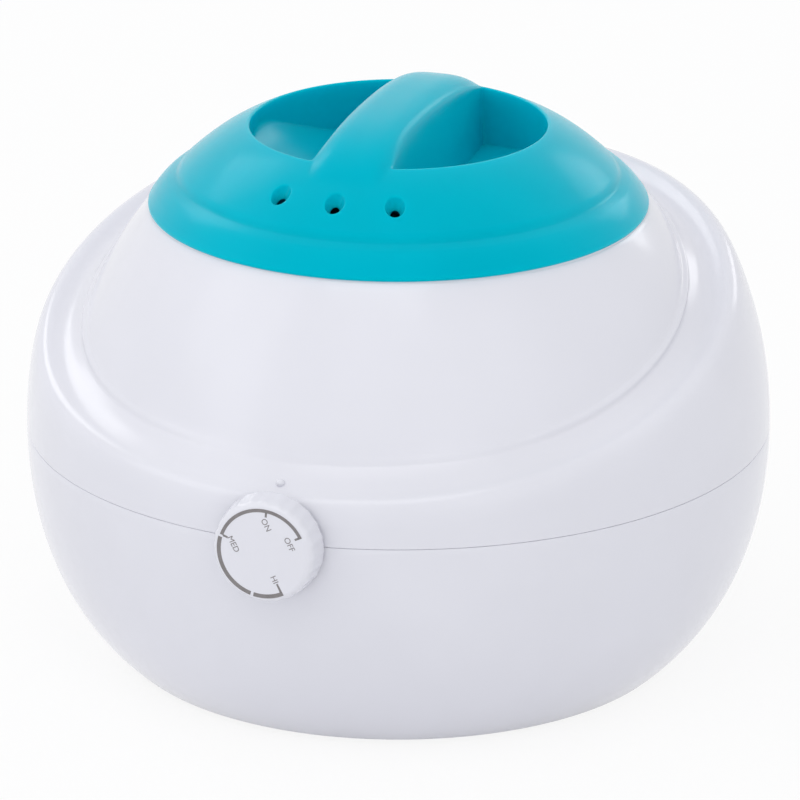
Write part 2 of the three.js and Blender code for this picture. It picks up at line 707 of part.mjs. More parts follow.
function makePot() {
  const inner = potRadius - POT_WALL;
  const edge = potRadius + POT_RIM_WIDTH;
  const rim = [
    [potRadius, potRimZ - 2],
    [potRadius + 1, potRimZ],
    [edge - 1, potRimZ],
    [edge, potRimZ + 0.9],
    [edge, potRimZ + POT_RIM_HEIGHT - 0.9],
    [edge - 1, potRimZ + POT_RIM_HEIGHT],
    [edge - 2.2, potRimZ + POT_RIM_HEIGHT - 0.6],
    [potRadius + 1.2, potRimZ + POT_WALL],
    [inner, potRimZ - 1],
  ];
  const body = lathe(cup(inner, POT_WALL, potFloorZ, POT_WALL, POT_CORNER, POT_TAPER, rim));
  const tab = new THREE.Shape();
  tab.moveTo(-TAB_WIDTH / 2, 0);
  tab.lineTo(TAB_WIDTH / 2, 0);
  tab.lineTo(TAB_WIDTH / 2 - 2, TAB_HEIGHT - 3);
  tab.quadraticCurveTo(TAB_WIDTH / 2 - 3, TAB_HEIGHT, TAB_WIDTH / 2 - 6, TAB_HEIGHT);
  tab.lineTo(-TAB_WIDTH / 2 + 6, TAB_HEIGHT);
  tab.quadraticCurveTo(-TAB_WIDTH / 2 + 3, TAB_HEIGHT, -TAB_WIDTH / 2 + 2, TAB_HEIGHT - 3);
  const slot = new THREE.Path();
  slot.absellipse(0, TAB_HEIGHT / 2 + 0.8, TAB_WIDTH / 5, TAB_HEIGHT / 5, 0, 2 * Math.PI);
  tab.holes.push(slot);
  let pot = body;
  for (const side of [-1, 1]) {
    const grip = extrude(tab, TAB_THICKNESS, 4).rotate([90, 0, 90]);
    const x = side * (potRadius + 1.5) - TAB_THICKNESS / 2;
    pot = pot.add(grip.translate(x, 0, potRimZ + POT_WALL / 2));
  }
  return pot;
}
piece('wax_pot', makePot(), ALUMINIUM);

// Lid
const lidBase = seatZ + GAP;
const lidRimZ = lidBase + LID_LIP;
const creaseRadius = lidRadius - BAND_IN;
const creaseZ = lidRimZ + BAND_UP;
const domeTop = creaseZ + DOME_RISE;
const domeCurve = (steps) => bezier([
  [creaseRadius, creaseZ],
  [creaseRadius - DOME_SHOULDER_IN, creaseZ + DOME_SHOULDER_UP],
  [DOME_FLAT_SHARE * lidRadius, domeTop],
  [0, domeTop],
], steps);
const domeLine = domeCurve(8);

function domeHeight(radius) {
  const after = domeLine.findIndex(([r]) => r <= radius);
  if (after <= 0) return creaseZ;
  const [r0, z0] = domeLine[after - 1];
  const [r1, z1] = domeLine[after];
  return mix(z0, z1, (radius - r0) / (r1 - r0));
}
const pocketRimZ = domeHeight(pocketRadius);
const pocketFloorZ = pocketRimZ - POCKET_DEPTH;

const lidOutline = [
  [lidRadius - 0.5, lidBase],
  [lidRadius, lidRimZ - 0.3],
  [lidRadius - 0.2, lidRimZ + 0.5],
  [mix(lidRadius, creaseRadius, 0.5) - BAND_FLARE, mix(lidRimZ, creaseZ, 0.5)],
];

function makeLidShell() {
  const skirtRadius = recessRadius - LID_SKIRT_CLEARANCE;
  const skirtInner = skirtRadius - LID_SKIRT_WIDTH;
  const innerDome = inset(domeCurve(5), LID_WALL).reverse();
  innerDome[0] = [0, domeTop - LID_WALL];
  return lathe([
    [skirtInner, lidBase - LID_SKIRT_DEPTH],
    [skirtRadius, lidBase - LID_SKIRT_DEPTH],
    [skirtRadius, lidBase],
    ...lidOutline,
    ...domeLine,
    ...innerDome,
    [skirtInner, lidBase + 2],
    [skirtInner, lidBase - LID_SKIRT_DEPTH],
  ], BODY_SEGMENTS);
}

// Half width of the finger bar where it meets the pockets, wider at its two ends
function barHalfWidth(y) {
  const reach = Math.min(1, Math.abs(y) / pocketRadius);
  const flare = y < 0 ? BAR_FLARE_FRONT : BAR_FLARE_BACK;
  return BAR_WIDTH / 2 + flare * reach ** 3;
}

// Outline of one pocket seen from above, grown by a margin and drawn in by a depth below the rim
function pocketOutline(side, margin, depth) {
  const radius = pocketRadius + margin - POCKET_DRAFT * depth;
  const flank = (y) => barHalfWidth(y) - margin + FLANK_DRAFT * depth;
  let end = radius;
  for (let i = 0; i < 20; i += 1) end = Math.sqrt(radius ** 2 - flank(end) ** 2);
  let start = -radius;
  for (let i = 0; i < 20; i += 1) start = -Math.sqrt(radius ** 2 - flank(start) ** 2);
  const points = [];
  const flankSteps = 6;
  const arcSteps = 12;
  for (let i = 0; i < flankSteps; i += 1) {
    const y = mix(end, start, i / flankSteps);
    points.push([side * flank(y), y]);
  }
  const from = Math.atan2(start, flank(start));
  const to = Math.atan2(end, flank(end));
  for (let i = 0; i < arcSteps; i += 1) {
    const angle = mix(from, to, i / arcSteps);
    points.push([side * radius * Math.cos(angle), radius * Math.sin(angle)]);
  }
  return side > 0 ? points : points.reverse();
}

// Closed solid between two outlines with the same number of points
function loft(lower, lowZ, upper, highZ) {
  const count = lower.length;
  const flat = (points) => points.map(([x, y]) => new THREE.Vector2(x, y));
  const caps = THREE.ShapeUtils.triangulateShape(flat(lower), []);
  const positions = [];
  for (const [x, y] of lower) positions.push(x, y, lowZ);
  for (const [x, y] of upper) positions.push(x, y, highZ);
  const faces = [];
  for (const [a, b, c] of caps) {
    faces.push(a, c, b);
    faces.push(a + count, b + count, c + count);
  }
  for (let i = 0; i < count; i += 1) {
    const next = (i + 1) % count;
    faces.push(i, next, next + count);
    faces.push(i, next + count, i + count);
  }
  const geometry = new THREE.BufferGeometry();
  geometry.setAttribute('position', new THREE.Float32BufferAttribute(positions, 3));
  geometry.setIndex(faces);
  return solidOf(geometry);
}

// Everything above the pocket floor, which falls from the rim towards the bar in a quarter ellipse
function aboveFloor(drop) {
  const inner = BAR_WIDTH / 2;
  const reach = pocketRadius - inner + 1;
  const shape = new THREE.Shape();
  const top = domeTop + 2 * BAR_RISE;
  shape.moveTo(-lidRadius, top);
  shape.lineTo(-lidRadius, pocketRimZ - drop);
  const steps = 6;
  const floorLine = [];
  for (let i = 0; i <= steps; i += 1) {
    const angle = (i / steps) * (Math.PI / 2);
    floorLine.push([inner + reach * Math.cos(angle), pocketRimZ - drop - POCKET_DEPTH * Math.sin(angle)]);
  }
  for (const [x, z] of floorLine) shape.lineTo(-x, z);
  for (const [x, z] of floorLine.reverse()) shape.lineTo(x, z);
  shape.lineTo(lidRadius, pocketRimZ - drop);
  shape.lineTo(lidRadius, top);
  const length = 2 * lidRadius;
  return extrude(shape, length).rotate([90, 0, 0]).translate(0, length / 2, 0);
}

function pocket(side, margin) {
  const low = pocketFloorZ - 2 * LID_WALL;
  const high = domeTop + 2 * BAR_RISE - OVERCUT;
  const lower = pocketOutline(side, margin, pocketRimZ - low);
  const upper = pocketOutline(side, margin, pocketRimZ - high);
  return loft(lower, low, upper, high).intersect(aboveFloor(margin));
}

// Crown of the finger bar: a soft ridge that stands proud of the dome and fades out at its ends
function makeBarCrown() {
  const halfLength = pocketRadius + BAR_OVERRUN;
  const halfWidth = BAR_WIDTH / 2 - BAR_EDGE_INSET;
  const across = 6;
  const along = 12;
  const count = (across + 1) * (along + 1);
  const positions = [];
  for (const layer of ['top', 'bottom']) {
    for (let j = 0; j <= along; j += 1) {
      for (let i = 0; i <= across; i += 1) {
        const u = mix(-1, 1, i / across);
        const v = mix(-1, 1, j / along);
        const [x, y] = [u * halfWidth, v * halfLength];
        const surface = domeHeight(Math.hypot(x, y));
        const crown = (BAR_RISE + BAR_EDGE_SINK) * (1 - u ** 4) * (1 - v ** 6) - BAR_EDGE_SINK;
        positions.push(x, y, layer === 'top' ? surface + crown : surface - LID_WALL + BAR_EDGE_SINK);
      }
    }
  }
  const faces = [];
  const quad = (a, b, c, d) => faces.push(a, b, c, a, c, d);
  const at = (i, j) => j * (across + 1) + i;
  for (let j = 0; j < along; j += 1) {
    for (let i = 0; i < across; i += 1) {
      quad(at(i, j), at(i + 1, j), at(i + 1, j + 1), at(i, j + 1));
      quad(count + at(i, j), count + at(i, j + 1), count + at(i + 1, j + 1), count + at(i + 1, j));
    }
  }
  for (let i = 0; i < across; i += 1) {
    quad(count + at(i, 0), count + at(i + 1, 0), at(i + 1, 0), at(i, 0));
    quad(at(i, along), at(i + 1, along), count + at(i + 1, along), count + at(i, along));
  }
  for (let j = 0; j < along; j += 1) {
    quad(at(0, j), at(0, j + 1), count + at(0, j + 1), count + at(0, j));
    quad(count + at(across, j), count + at(across, j + 1), at(across, j + 1), at(across, j));
  }
  const geometry = new THREE.BufferGeometry();
  geometry.setAttribute('position', new THREE.Float32BufferAttribute(positions, 3));
  geometry.setIndex(faces);
  return solidOf(geometry);
}

function makeLid() {
  const dome = lathe([[0, lidBase], ...lidOutline, ...domeLine], BODY_SEGMENTS);
  let lid = makeLidShell();
  const tubs = pocket(-1, LID_WALL).add(pocket(1, LID_WALL));
  lid = lid.add(tubs.intersect(dome)).add(makeBarCrown());
  lid = lid.subtract(pocket(-1, 0)).subtract(pocket(1, 0));
  for (let k = 0; k < VENT_COUNT; k += 1) {
    const angle = THREE.MathUtils.degToRad((k - (VENT_COUNT - 1) / 2) * VENT_SPACING);
    const [x, y] = onCircle(ventCircle, angle);
    lid = lid.subtract(rod(VENT_RADIUS, domeTop - lidBase).translate(x, y, lidBase));
  }
  return lid;
}
piece('lid', makeLid(), TEAL_PLASTIC);

// Heater band: an open ring whose two lugs are drawn together by the clamp screws
const bandInner = wellOuter + GAP;
const bandOuter = bandInner + BAND_THICKNESS;
const bandZ = wellBase + HEATER_BAND_LOW;
const bandHalfAngle = BAND_GAP / 2 / bandInner;
const clampHeights = [0.2, 0.8].map((share) => bandZ + share * HEATER_BAND_HEIGHT);
const clampY = bandOuter + BAND_LUG / 2;

function openRing(inner, outer, halfAngle) {
  const start = Math.PI / 2 + halfAngle;
  const end = Math.PI / 2 - halfAngle + 2 * Math.PI;
  const shape = new THREE.Shape();
  shape.absarc(0, 0, outer, start, end, false);
  shape.absarc(0, 0, inner, end, start, true);
  return shape;
}

function makeHeaterBand() {
  let band = extrude(openRing(bandInner, bandOuter, bandHalfAngle), HEATER_BAND_HEIGHT, 20);
  for (const side of [-1, 1]) {
    const lugLength = BAND_LUG + BAND_THICKNESS;
    const lug = new THREE.BoxGeometry(BAND_THICKNESS, lugLength, HEATER_BAND_HEIGHT);
    const x = side * (BAND_GAP / 2 + BAND_THICKNESS / 2);
    const y = bandInner + GAP + lugLength / 2;
    band = band.add(solidOf(lug).translate(x, y, HEATER_BAND_HEIGHT / 2));
  }
  band = band.translate(0, 0, bandZ);
  for (const height of clampHeights) {
    const reach = BAND_GAP + BAND_THICKNESS;
    const hole = bore(CLAMP_SCREW_RADIUS, 2 * reach).rotate([0, 90, 0]);
    band = band.subtract(hole.translate(-reach, clampY, height));
  }
  return band;
}
piece('heater_band', makeHeaterBand(), MICA);

const lugOutside = BAND_GAP / 2 + BAND_THICKNESS;
const clampScrew = panScrew(CLAMP_SCREW_RADIUS, CLAMP_SCREW_HEAD, 2, 2 * lugOutside + 5);
const clampNut = hexNut(CLAMP_NUT_RADIUS, CLAMP_SCREW_RADIUS, CLAMP_NUT_THICKNESS);
clampHeights.forEach((height, k) => {
  const screw = piece(`clamp_screw_${k + 1}`, clampScrew, STEEL);
  screw.rotation.y = Math.PI / 2;
  screw.position.set(lugOutside + GAP, clampY, height);
  const nut = piece(`clamp_nut_${k + 1}`, clampNut, STEEL);
  nut.rotation.y = Math.PI / 2;
  nut.position.set(-lugOutside - GAP - CLAMP_NUT_THICKNESS, clampY, height);
});

function hexNut(radius, inner, thickness) {
  return rod(radius, thickness, 6).subtract(bore(inner, thickness + 2, 12).translate(0, 0, -1));
}

const sleeveInner = bandOuter + GAP;
const sleeveHalfAngle = SLEEVE_SLOT / 2 / sleeveInner;
const sleeve = extrude(openRing(sleeveInner, sleeveInner + SLEEVE_THICKNESS, sleeveHalfAngle),
  HEATER_BAND_HEIGHT + 2 * SLEEVE_OVERHANG, 20);
piece('insulation_sleeve', sleeve, GLASS_FIBRE).position.z = bandZ - SLEEVE_OVERHANG;

// Heat shield on its posts, insulation pad and thermal cut-out under the well
function makeShield() {
  let shield = lathe([
    [0, shieldZ],
    [shieldRadius - SHIELD_THICKNESS, shieldZ],
    [shieldRadius - SHIELD_THICKNESS, shieldZ - SHIELD_RIM],
    [shieldRadius, shieldZ - SHIELD_RIM],
    [shieldRadius, shieldZ + SHIELD_THICKNESS - 0.6],
    [shieldRadius - 0.6, shieldTop],
    [0, shieldTop],
  ]);
  for (const angle of shieldPostAngles) {
    const [x, y] = onCircle(shieldPostCircle, angle);
    shield = shield.subtract(bore(SMALL_SCREW_RADIUS, 6).translate(x, y, shieldZ - 2));
  }
  const width = 2 * CUTOUT_SPREAD + SHIELD_RIM;
  const window = new THREE.BoxGeometry(width, BLADE_WIDTH + SHIELD_RIM, SHIELD_RIM);
  return shield.subtract(solidOf(window).translate(CUTOUT_OFFSET, 0, shieldZ));
}
piece('heat_shield', makeShield(), ALUMINIUM);

const smallScrew = panScrew(
  SMALL_SCREW_RADIUS,
  SMALL_SCREW_HEAD,
  SMALL_SCREW_HEAD_HEIGHT,
  SMALL_SCREW_LENGTH,
);
shieldPostAngles.forEach((angle, k) => {
  const [x, y] = onCircle(shieldPostCircle, angle);
  piece(`shield_screw_${k + 1}`, smallScrew, STEEL).position.set(x, y, shieldTop + GAP);
});

const pad = rod(padRadius, PAD_THICKNESS, INNER_SEGMENTS)
  .subtract(rod(CUTOUT_RADIUS + 3, PAD_THICKNESS + 2, 20).translate(CUTOUT_OFFSET, 0, -1));
piece('insulation_pad', pad, GLASS_FIBRE).position.z = padZ;

function makeCutout() {
  let body = lathe([
    [0, 0],
    [CUTOUT_RADIUS - 1, 0],
    [CUTOUT_RADIUS, 1],
    [CUTOUT_RADIUS, PAD_THICKNESS - 1.5],
    [CUTOUT_RADIUS + 1.5, PAD_THICKNESS - 1.5],
    [CUTOUT_RADIUS + 1.5, PAD_THICKNESS - 0.6],
    [CUTOUT_RADIUS, PAD_THICKNESS],
    [0, PAD_THICKNESS],
  ], 16);
  for (const side of [-1, 1]) {
    const blade = new THREE.BoxGeometry(BLADE_THICKNESS, BLADE_WIDTH, BLADE_LENGTH + OVERCUT);
    body = body.add(solidOf(blade).translate(side * CUTOUT_SPREAD, 0, (OVERCUT - BLADE_LENGTH) / 2));
  }
  return body;
}
piece('thermal_cutout', makeCutout(), BLACK_PLASTIC).position.set(CUTOUT_OFFSET, 0, padZ);

// Control: local +Z points outwards through the front, local +Y points up
const control = new THREE.Group();
control.position.set(0, -BODY_RADIUS, partingZ);
control.rotation.x = Math.PI / 2;
warmer.add(control);
const bracketFace = -BRACKET_INSET;

function makeKnob() {
  const back = KNOB_STANDOFF;
  const face = back + KNOB_HEIGHT;
  const edge = face - KNOB_EDGE;
  const top = KNOB_RADIUS - KNOB_TAPER - KNOB_GRIP_DEPTH;
  const outside = sweep((angle) => {
    const grip = KNOB_GRIP_DEPTH * (1 - Math.cos(KNOB_GRIPS * angle)) / 2;
    return [
      [0, back],
      [KNOB_RADIUS - grip, back],
      [KNOB_RADIUS - KNOB_TAPER - grip, edge],
      [top - 0.3 * KNOB_EDGE, face - 0.35 * KNOB_EDGE],
      [top - KNOB_EDGE, face],
      [0, face],
    ];
  }, 3 * KNOB_GRIPS);
  const inner = KNOB_RADIUS - KNOB_WALL;
  const cavity = lathe([
    [KNOB_HUB, back - OVERCUT],
    [inner, back - OVERCUT],
    [inner - KNOB_TAPER, face - KNOB_WALL],
    [KNOB_HUB, face - KNOB_WALL],
    [KNOB_HUB, back - OVERCUT],
  ], 24);
  const depth = KNOB_HEIGHT - KNOB_SOCKET_ROOF + OVERCUT;
  const socket = bore(SHAFT_RADIUS, depth, 12).translate(0, 0, back - OVERCUT);
  return outside.subtract(cavity).subtract(socket);
}
piece('knob', makeKnob(), WHITE_PLASTIC, control);

const shaftInner = bracketFace - BRACKET_THICKNESS - SHAFT_TAIL;
const socketTop = KNOB_STANDOFF + KNOB_HEIGHT - KNOB_SOCKET_ROOF;
const shaftOuter = socketTop - GAP;

function makeShaft() {
  const shaft = rod(SHAFT_RADIUS, shaftOuter - shaftInner, 12).translate(0, 0, shaftInner);
  const flat = new THREE.BoxGeometry(20, 4, 10);
  return shaft.subtract(solidOf(flat).translate(0, SHAFT_RADIUS - SHAFT_FLAT + 2, shaftOuter));
}
piece('thermostat_shaft', makeShaft(), STEEL, control);

function makeThermostat() {
  const top = bracketFace - BRACKET_THICKNESS - GAP;
  const outline = roundedRectangle(THERMOSTAT_SIZE, THERMOSTAT_SIZE, THERMOSTAT_CORNER);
  let body = extrude(outline, THERMOSTAT_DEPTH, 3).translate(0, 0, top - THERMOSTAT_DEPTH);
  body = body.add(rod(BUSH_RADIUS, BUSH_LENGTH + BRACKET_THICKNESS + 1, 12).translate(0, 0, top - 1));
  for (const side of [-1, 1]) {
    const blade = new THREE.BoxGeometry(BLADE_WIDTH, BLADE_LENGTH + OVERCUT, BLADE_THICKNESS);
    const y = -(THERMOSTAT_SIZE + BLADE_LENGTH - OVERCUT) / 2;
    body = body.add(solidOf(blade).translate(side * BLADE_SPREAD, y, top - THERMOSTAT_DEPTH / 2));
  }
  return body.subtract(bore(SHAFT_RADIUS, shaftOuter - shaftInner, 12).translate(0, 0, shaftInner - GAP));
}
piece('thermostat_body', makeThermostat(), BLACK_PLASTIC, control);
piece('thermostat_nut', hexNut(NUT_RADIUS, BUSH_RADIUS, NUT_THICKNESS), STEEL, control)
  .position.z = bracketFace + GAP;

function makeBracket() {
  const drop = partingZ - BRACKET_FOOT_Z;
  const reach = THERMOSTAT_SIZE / 2 + 2;
  const half = BRACKET_WIDTH / 2;
  const shape = new THREE.Shape();
  shape.moveTo(-half, -drop);
  shape.lineTo(half, -drop);
  shape.lineTo(half, reach - 6);
  shape.quadraticCurveTo(half, reach, half - 6, reach);
  shape.lineTo(-half + 6, reach);
  shape.quadraticCurveTo(-half, reach, -half, reach - 6);
  const hole = new THREE.Path();
  hole.absarc(0, 0, (BUSH_RADIUS + GAP) / Math.cos(Math.PI / 16), 0, 2 * Math.PI);
  shape.holes.push(hole);
  const plate = extrude(shape, BRACKET_THICKNESS, 8).translate(0, 0, bracketFace - BRACKET_THICKNESS);
  const base = new THREE.BoxGeometry(BRACKET_WIDTH, BRACKET_THICKNESS, BRACKET_FOOT + BRACKET_THICKNESS);
  const baseZ = bracketFace - (BRACKET_FOOT + BRACKET_THICKNESS) / 2;
  let bracket = plate.add(solidOf(base).translate(0, -drop + BRACKET_THICKNESS / 2, baseZ));
  for (const side of [-1, 1]) {
    const screwHole = bore(SMALL_SCREW_RADIUS, 8).rotate([90, 0, 0]);
    const x = (side * BRACKET_POST_SPAN) / 2;
    bracket = bracket.subtract(screwHole.translate(x, -drop + 5, -BODY_RADIUS - bracketPostY));
  }
  return bracket;
}
piece('thermostat_bracket', makeBracket(), STEEL, control);
[-1, 1].forEach((side, k) => {
  const x = (side * BRACKET_POST_SPAN) / 2;
  const z = BRACKET_FOOT_Z + BRACKET_THICKNESS + GAP;
  piece(`bracket_screw_${k + 1}`, smallScrew, STEEL).position.set(x, bracketPostY, z);
});

// Terminal block on its post
const blockZ = floorTop + BLOCK_POST + GAP;

function makeTerminalBlock() {
  const half = BLOCK_WIDTH / 2;
  const shape = new THREE.Shape();
  shape.moveTo(-half, 0);
  shape.lineTo(half, 0);
  shape.lineTo(half, BLOCK_HEIGHT);
  shape.lineTo(half - BLOCK_TOWER, BLOCK_HEIGHT);
  shape.lineTo(half - BLOCK_TOWER - 2, BLOCK_HEIGHT - BLOCK_STEP);
  shape.lineTo(-half + BLOCK_TOWER + 2, BLOCK_HEIGHT - BLOCK_STEP);
  shape.lineTo(-half + BLOCK_TOWER, BLOCK_HEIGHT);
  shape.lineTo(-half, BLOCK_HEIGHT);
  let block = extrude(shape, BLOCK_DEPTH).rotate([90, 0, 0]).translate(0, BLOCK_DEPTH / 2, 0);
  for (const side of [-1, 1]) {
    const entry = rod(BLOCK_ENTRY_RADIUS, BLOCK_DEPTH + 2 * OVERCUT, 12).rotate([90, 0, 0]);
    const x = side * (half - BLOCK_TOWER / 2);
    block = block.subtract(entry.translate(x, BLOCK_DEPTH / 2 + OVERCUT, BLOCK_HEIGHT / 2));
    const screwWell = rod(BLOCK_ENTRY_RADIUS, BLOCK_STEP + OVERCUT, 12);
    block = block.subtract(screwWell.translate(x, 0, BLOCK_HEIGHT - BLOCK_STEP));
  }
  return block.subtract(bore(SMALL_SCREW_RADIUS, BLOCK_HEIGHT + 2).translate(0, 0, -1));
}
piece('terminal_block', makeTerminalBlock(), CERAMIC).position.set(0, blockY, blockZ);
const blockScrew = panScrew(SMALL_SCREW_RADIUS, SMALL_SCREW_HEAD, SMALL_SCREW_HEAD_HEIGHT,
  BLOCK_HEIGHT - BLOCK_STEP + BLOCK_POST - 2 * OVERCUT);
const blockStepZ = blockZ + BLOCK_HEIGHT - BLOCK_STEP;
piece('terminal_screw', blockScrew, STEEL).position.set(0, blockY, blockStepZ + GAP);

// Cable gland: a bush with a flange on each side of the back wall
const glandSeat = GLAND_FLANGE_THICKNESS + GAP;
const gland = lathe([
  [GLAND_BORE, glandInner - glandSeat],
  [GLAND_FLANGE - 1, glandInner - glandSeat],
  [GLAND_FLANGE - 1, glandInner - GAP],
  [GLAND_RADIUS - GAP, glandInner - GAP],
  [GLAND_RADIUS - GAP, glandOuter + GAP],
  [GLAND_FLANGE, glandOuter + GAP],
  [GLAND_FLANGE - 0.6, glandOuter + glandSeat],
  [GLAND_BORE, glandOuter + glandSeat],
  [GLAND_BORE, glandInner - glandSeat],
], 16);
const glandMesh = piece('cable_gland', gland, BLACK_PLASTIC);
glandMesh.rotation.x = -Math.PI / 2;
glandMesh.position.set(0, 0, GLAND_Z);

// The origin lies under the middle of the whole object, knob included
warmer.position.y = (KNOB_STANDOFF + KNOB_HEIGHT) / 2;
const part = new THREE.Group();
part.add(warmer);

export default part;
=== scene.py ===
# %% [markdown]
# # A wax warmer, dressed for its picture
# The CAD model gives this wax warmer its sizes, its pieces and its joints. This notebook adds what
# the eye wants: round curves in place of facets, soft moulded edges, real finishes and studio
# light. Each piece is made in place, in the CAD model's own frame, so nothing has to be fitted
# afterwards.

# %% Load the frame
import json
from math import copysign, cos, pi, radians, sin

import bmesh
import bpy
import numpy as np
from mathutils import Matrix, Vector
from mathutils.geometry import delaunay_2d_cdt

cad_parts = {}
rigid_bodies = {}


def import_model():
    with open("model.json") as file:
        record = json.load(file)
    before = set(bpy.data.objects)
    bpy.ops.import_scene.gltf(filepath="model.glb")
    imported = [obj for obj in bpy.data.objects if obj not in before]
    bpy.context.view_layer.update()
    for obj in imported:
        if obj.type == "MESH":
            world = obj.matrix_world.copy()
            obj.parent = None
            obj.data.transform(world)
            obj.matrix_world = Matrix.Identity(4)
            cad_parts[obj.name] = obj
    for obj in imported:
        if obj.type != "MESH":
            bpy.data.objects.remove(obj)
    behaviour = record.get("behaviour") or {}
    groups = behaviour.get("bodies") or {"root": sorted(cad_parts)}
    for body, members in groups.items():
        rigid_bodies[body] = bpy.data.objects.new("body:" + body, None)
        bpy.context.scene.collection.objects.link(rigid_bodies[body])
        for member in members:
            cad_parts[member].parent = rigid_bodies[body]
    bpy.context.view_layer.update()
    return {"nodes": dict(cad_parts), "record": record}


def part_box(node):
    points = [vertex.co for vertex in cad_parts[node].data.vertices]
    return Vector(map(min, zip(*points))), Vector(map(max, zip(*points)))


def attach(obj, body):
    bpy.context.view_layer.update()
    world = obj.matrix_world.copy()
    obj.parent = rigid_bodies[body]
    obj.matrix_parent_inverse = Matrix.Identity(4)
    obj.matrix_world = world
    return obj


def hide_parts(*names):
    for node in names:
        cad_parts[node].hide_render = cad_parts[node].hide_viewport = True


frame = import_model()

# %% [markdown]
# ## Working in millimetres round the body's axis
# The warmer is almost all turned and swept round one upright axis, which stands 4.8 mm behind the
# frame's origin because the control sticks out in front. Points are worked out in millimetres round
# that axis, and one function turns them into a mesh in metres. Angles start at the front and grow
# to the right.

# %% Points to mesh
MM = 0.001
AXIS_Y = 4.8
WELD = 0.002 * MM


def closed_mesh(name, patches, sharp=32):
    """A welded mesh in metres from patches of (points, faces) in millimetres."""
    points, faces, start = [], [], 0
    for patch_points, patch_faces in patches:
        points.append(np.asarray(patch_points, float))
        faces += [tuple(int(i) + start for i in face) for face in patch_faces]
        start += len(patch_points)
    place = np.vstack(points) + (0, AXIS_Y, 0)
    mesh = bpy.data.meshes.new(name)
    mesh.from_pydata((place * MM).tolist(), [], faces)
    return tidy(mesh, sharp)


def tidy(mesh, sharp=32):
    """Welds doubles, turns faces outwards and keeps only real edges sharp."""
    work = bmesh.new()
    work.from_mesh(mesh)
    bmesh.ops.remove_doubles(work, verts=work.verts, dist=WELD)
    bmesh.ops.recalc_face_normals(work, faces=work.faces)
    if work.calc_volume(signed=True) < 0:
        bmesh.ops.reverse_faces(work, faces=work.faces)
    open_edges = sum(1 for edge in work.edges if not edge.is_manifold)
    volume = work.calc_volume() / MM ** 3
    work.to_mesh(mesh)
    work.free()
    mesh.shade_smooth()
    mesh.set_sharp_from_angle(angle=radians(sharp))
    print(f"{mesh.name}: {len(mesh.polygons)} faces, {open_edges} open edges,"
          f" {volume / 1000:.1f} cm3")
    return mesh


def patch_of(mesh, shift):
    """A mesh in metres as a patch in millimetres, moved by a shift."""
    flat = np.zeros(len(mesh.vertices) * 3)
    mesh.vertices.foreach_get("co", flat)
    return flat.reshape(-1, 3) / MM + shift, [tuple(face.vertices) for face in mesh.polygons]


# %% Rings, sweeps and rounded corners
def full_turn(count):
    """Evenly spaced angles once round."""
    return np.arange(count) * 2 * pi / count


def on_circle(radius, angles):
    """Places (x, y) on a circle round the axis, counted from the front."""
    return [(radius * sin(angle), -radius * cos(angle)) for angle in angles]


def strip(rows, closed=False):
    """Quads between rows of points that each run once round."""
    rows = np.asarray(rows, float)
    count, around = rows.shape[:2]
    faces = []
    for j in range(count if closed else count - 1):
        below, above = j * around, ((j + 1) % count) * around
        for i in range(around):
            after = (i + 1) % around
            faces.append((below + i, below + after, above + after, above + i))
    return rows.reshape(-1, 3), faces


def swept(profile, closed=False):
    """Sweeps an array [angle, point, (radius, height)] round the axis."""
    turns, count = profile.shape[:2]
    angle = full_turn(turns)[:, None]
    x = profile[:, :, 0] * np.sin(angle)
    y = -profile[:, :, 0] * np.cos(angle)
    return strip(np.stack([x, y, profile[:, :, 1]], -1).transpose(1, 0, 2), closed)


def turned(outline, turns=192, closed=False):
    """Turns one outline of (radius, height) points, as on a lathe."""
    outline = np.asarray(outline, float)
    return swept(np.broadcast_to(outline, (turns, *outline.shape)), closed)


def rounded(corners, steps=5):
    """An outline through corners of (radius, height, rounding)."""
    outline = []
    for i, (radius, height, rounding) in enumerate(corners):
        here = np.array((radius, height), float)
        if rounding == 0 or i in (0, len(corners) - 1):
            outline.append(here)
            continue
        before = np.array(corners[i - 1][:2], float) - here
        after = np.array(corners[i + 1][:2], float) - here
        reach = min(rounding, 0.49 * np.linalg.norm(before), 0.49 * np.linalg.norm(after))
        first = here + before / np.linalg.norm(before) * reach
        last = here + after / np.linalg.norm(after) * reach
        for t in np.linspace(0, 1, steps + 1):
            outline.append((1 - t) ** 2 * first + 2 * t * (1 - t) * here + t ** 2 * last)
    return np.array(outline)


def inset(curve, wall):
    """The same curve a wall's thickness further in."""
    step = np.gradient(curve, axis=-2)
    step /= np.linalg.norm(step, axis=-1, keepdims=True)
    return curve + np.stack([-step[..., 1], step[..., 0]], -1) * wall


def bezier(points, t):
    """A point on a Bezier curve of any degree, by repeated mixing."""
    points = [np.asarray(point, float) for point in points]
    while len(points) > 1:
        points = [a + (b - a) * t for a, b in zip(points, points[1:])]
    return points[0]


# %% [markdown]
# ## Adding and cutting solids
# Screw columns, holes and recesses are solids that a Boolean modifier adds to a shell or cuts from
# it. The result is read back as a plain mesh, so no modifier stays live.

# %% Boolean work on meshes
def linked(data):
    """A scene object for a mesh, a text, a lamp or a camera."""
    made = bpy.data.objects.new(data.name, data)
    bpy.context.scene.collection.objects.link(made)
    return made


def evaluated(made):
    """The object's finished shape as a plain mesh; the object and its raw data go."""
    bpy.context.view_layer.update()
    shaped = made.evaluated_get(bpy.context.evaluated_depsgraph_get())
    mesh = bpy.data.meshes.new_from_object(shaped)
    raw, name = made.data, made.data.name
    bpy.data.objects.remove(made)
    bpy.data.batch_remove([raw])
    mesh.name = name
    return mesh


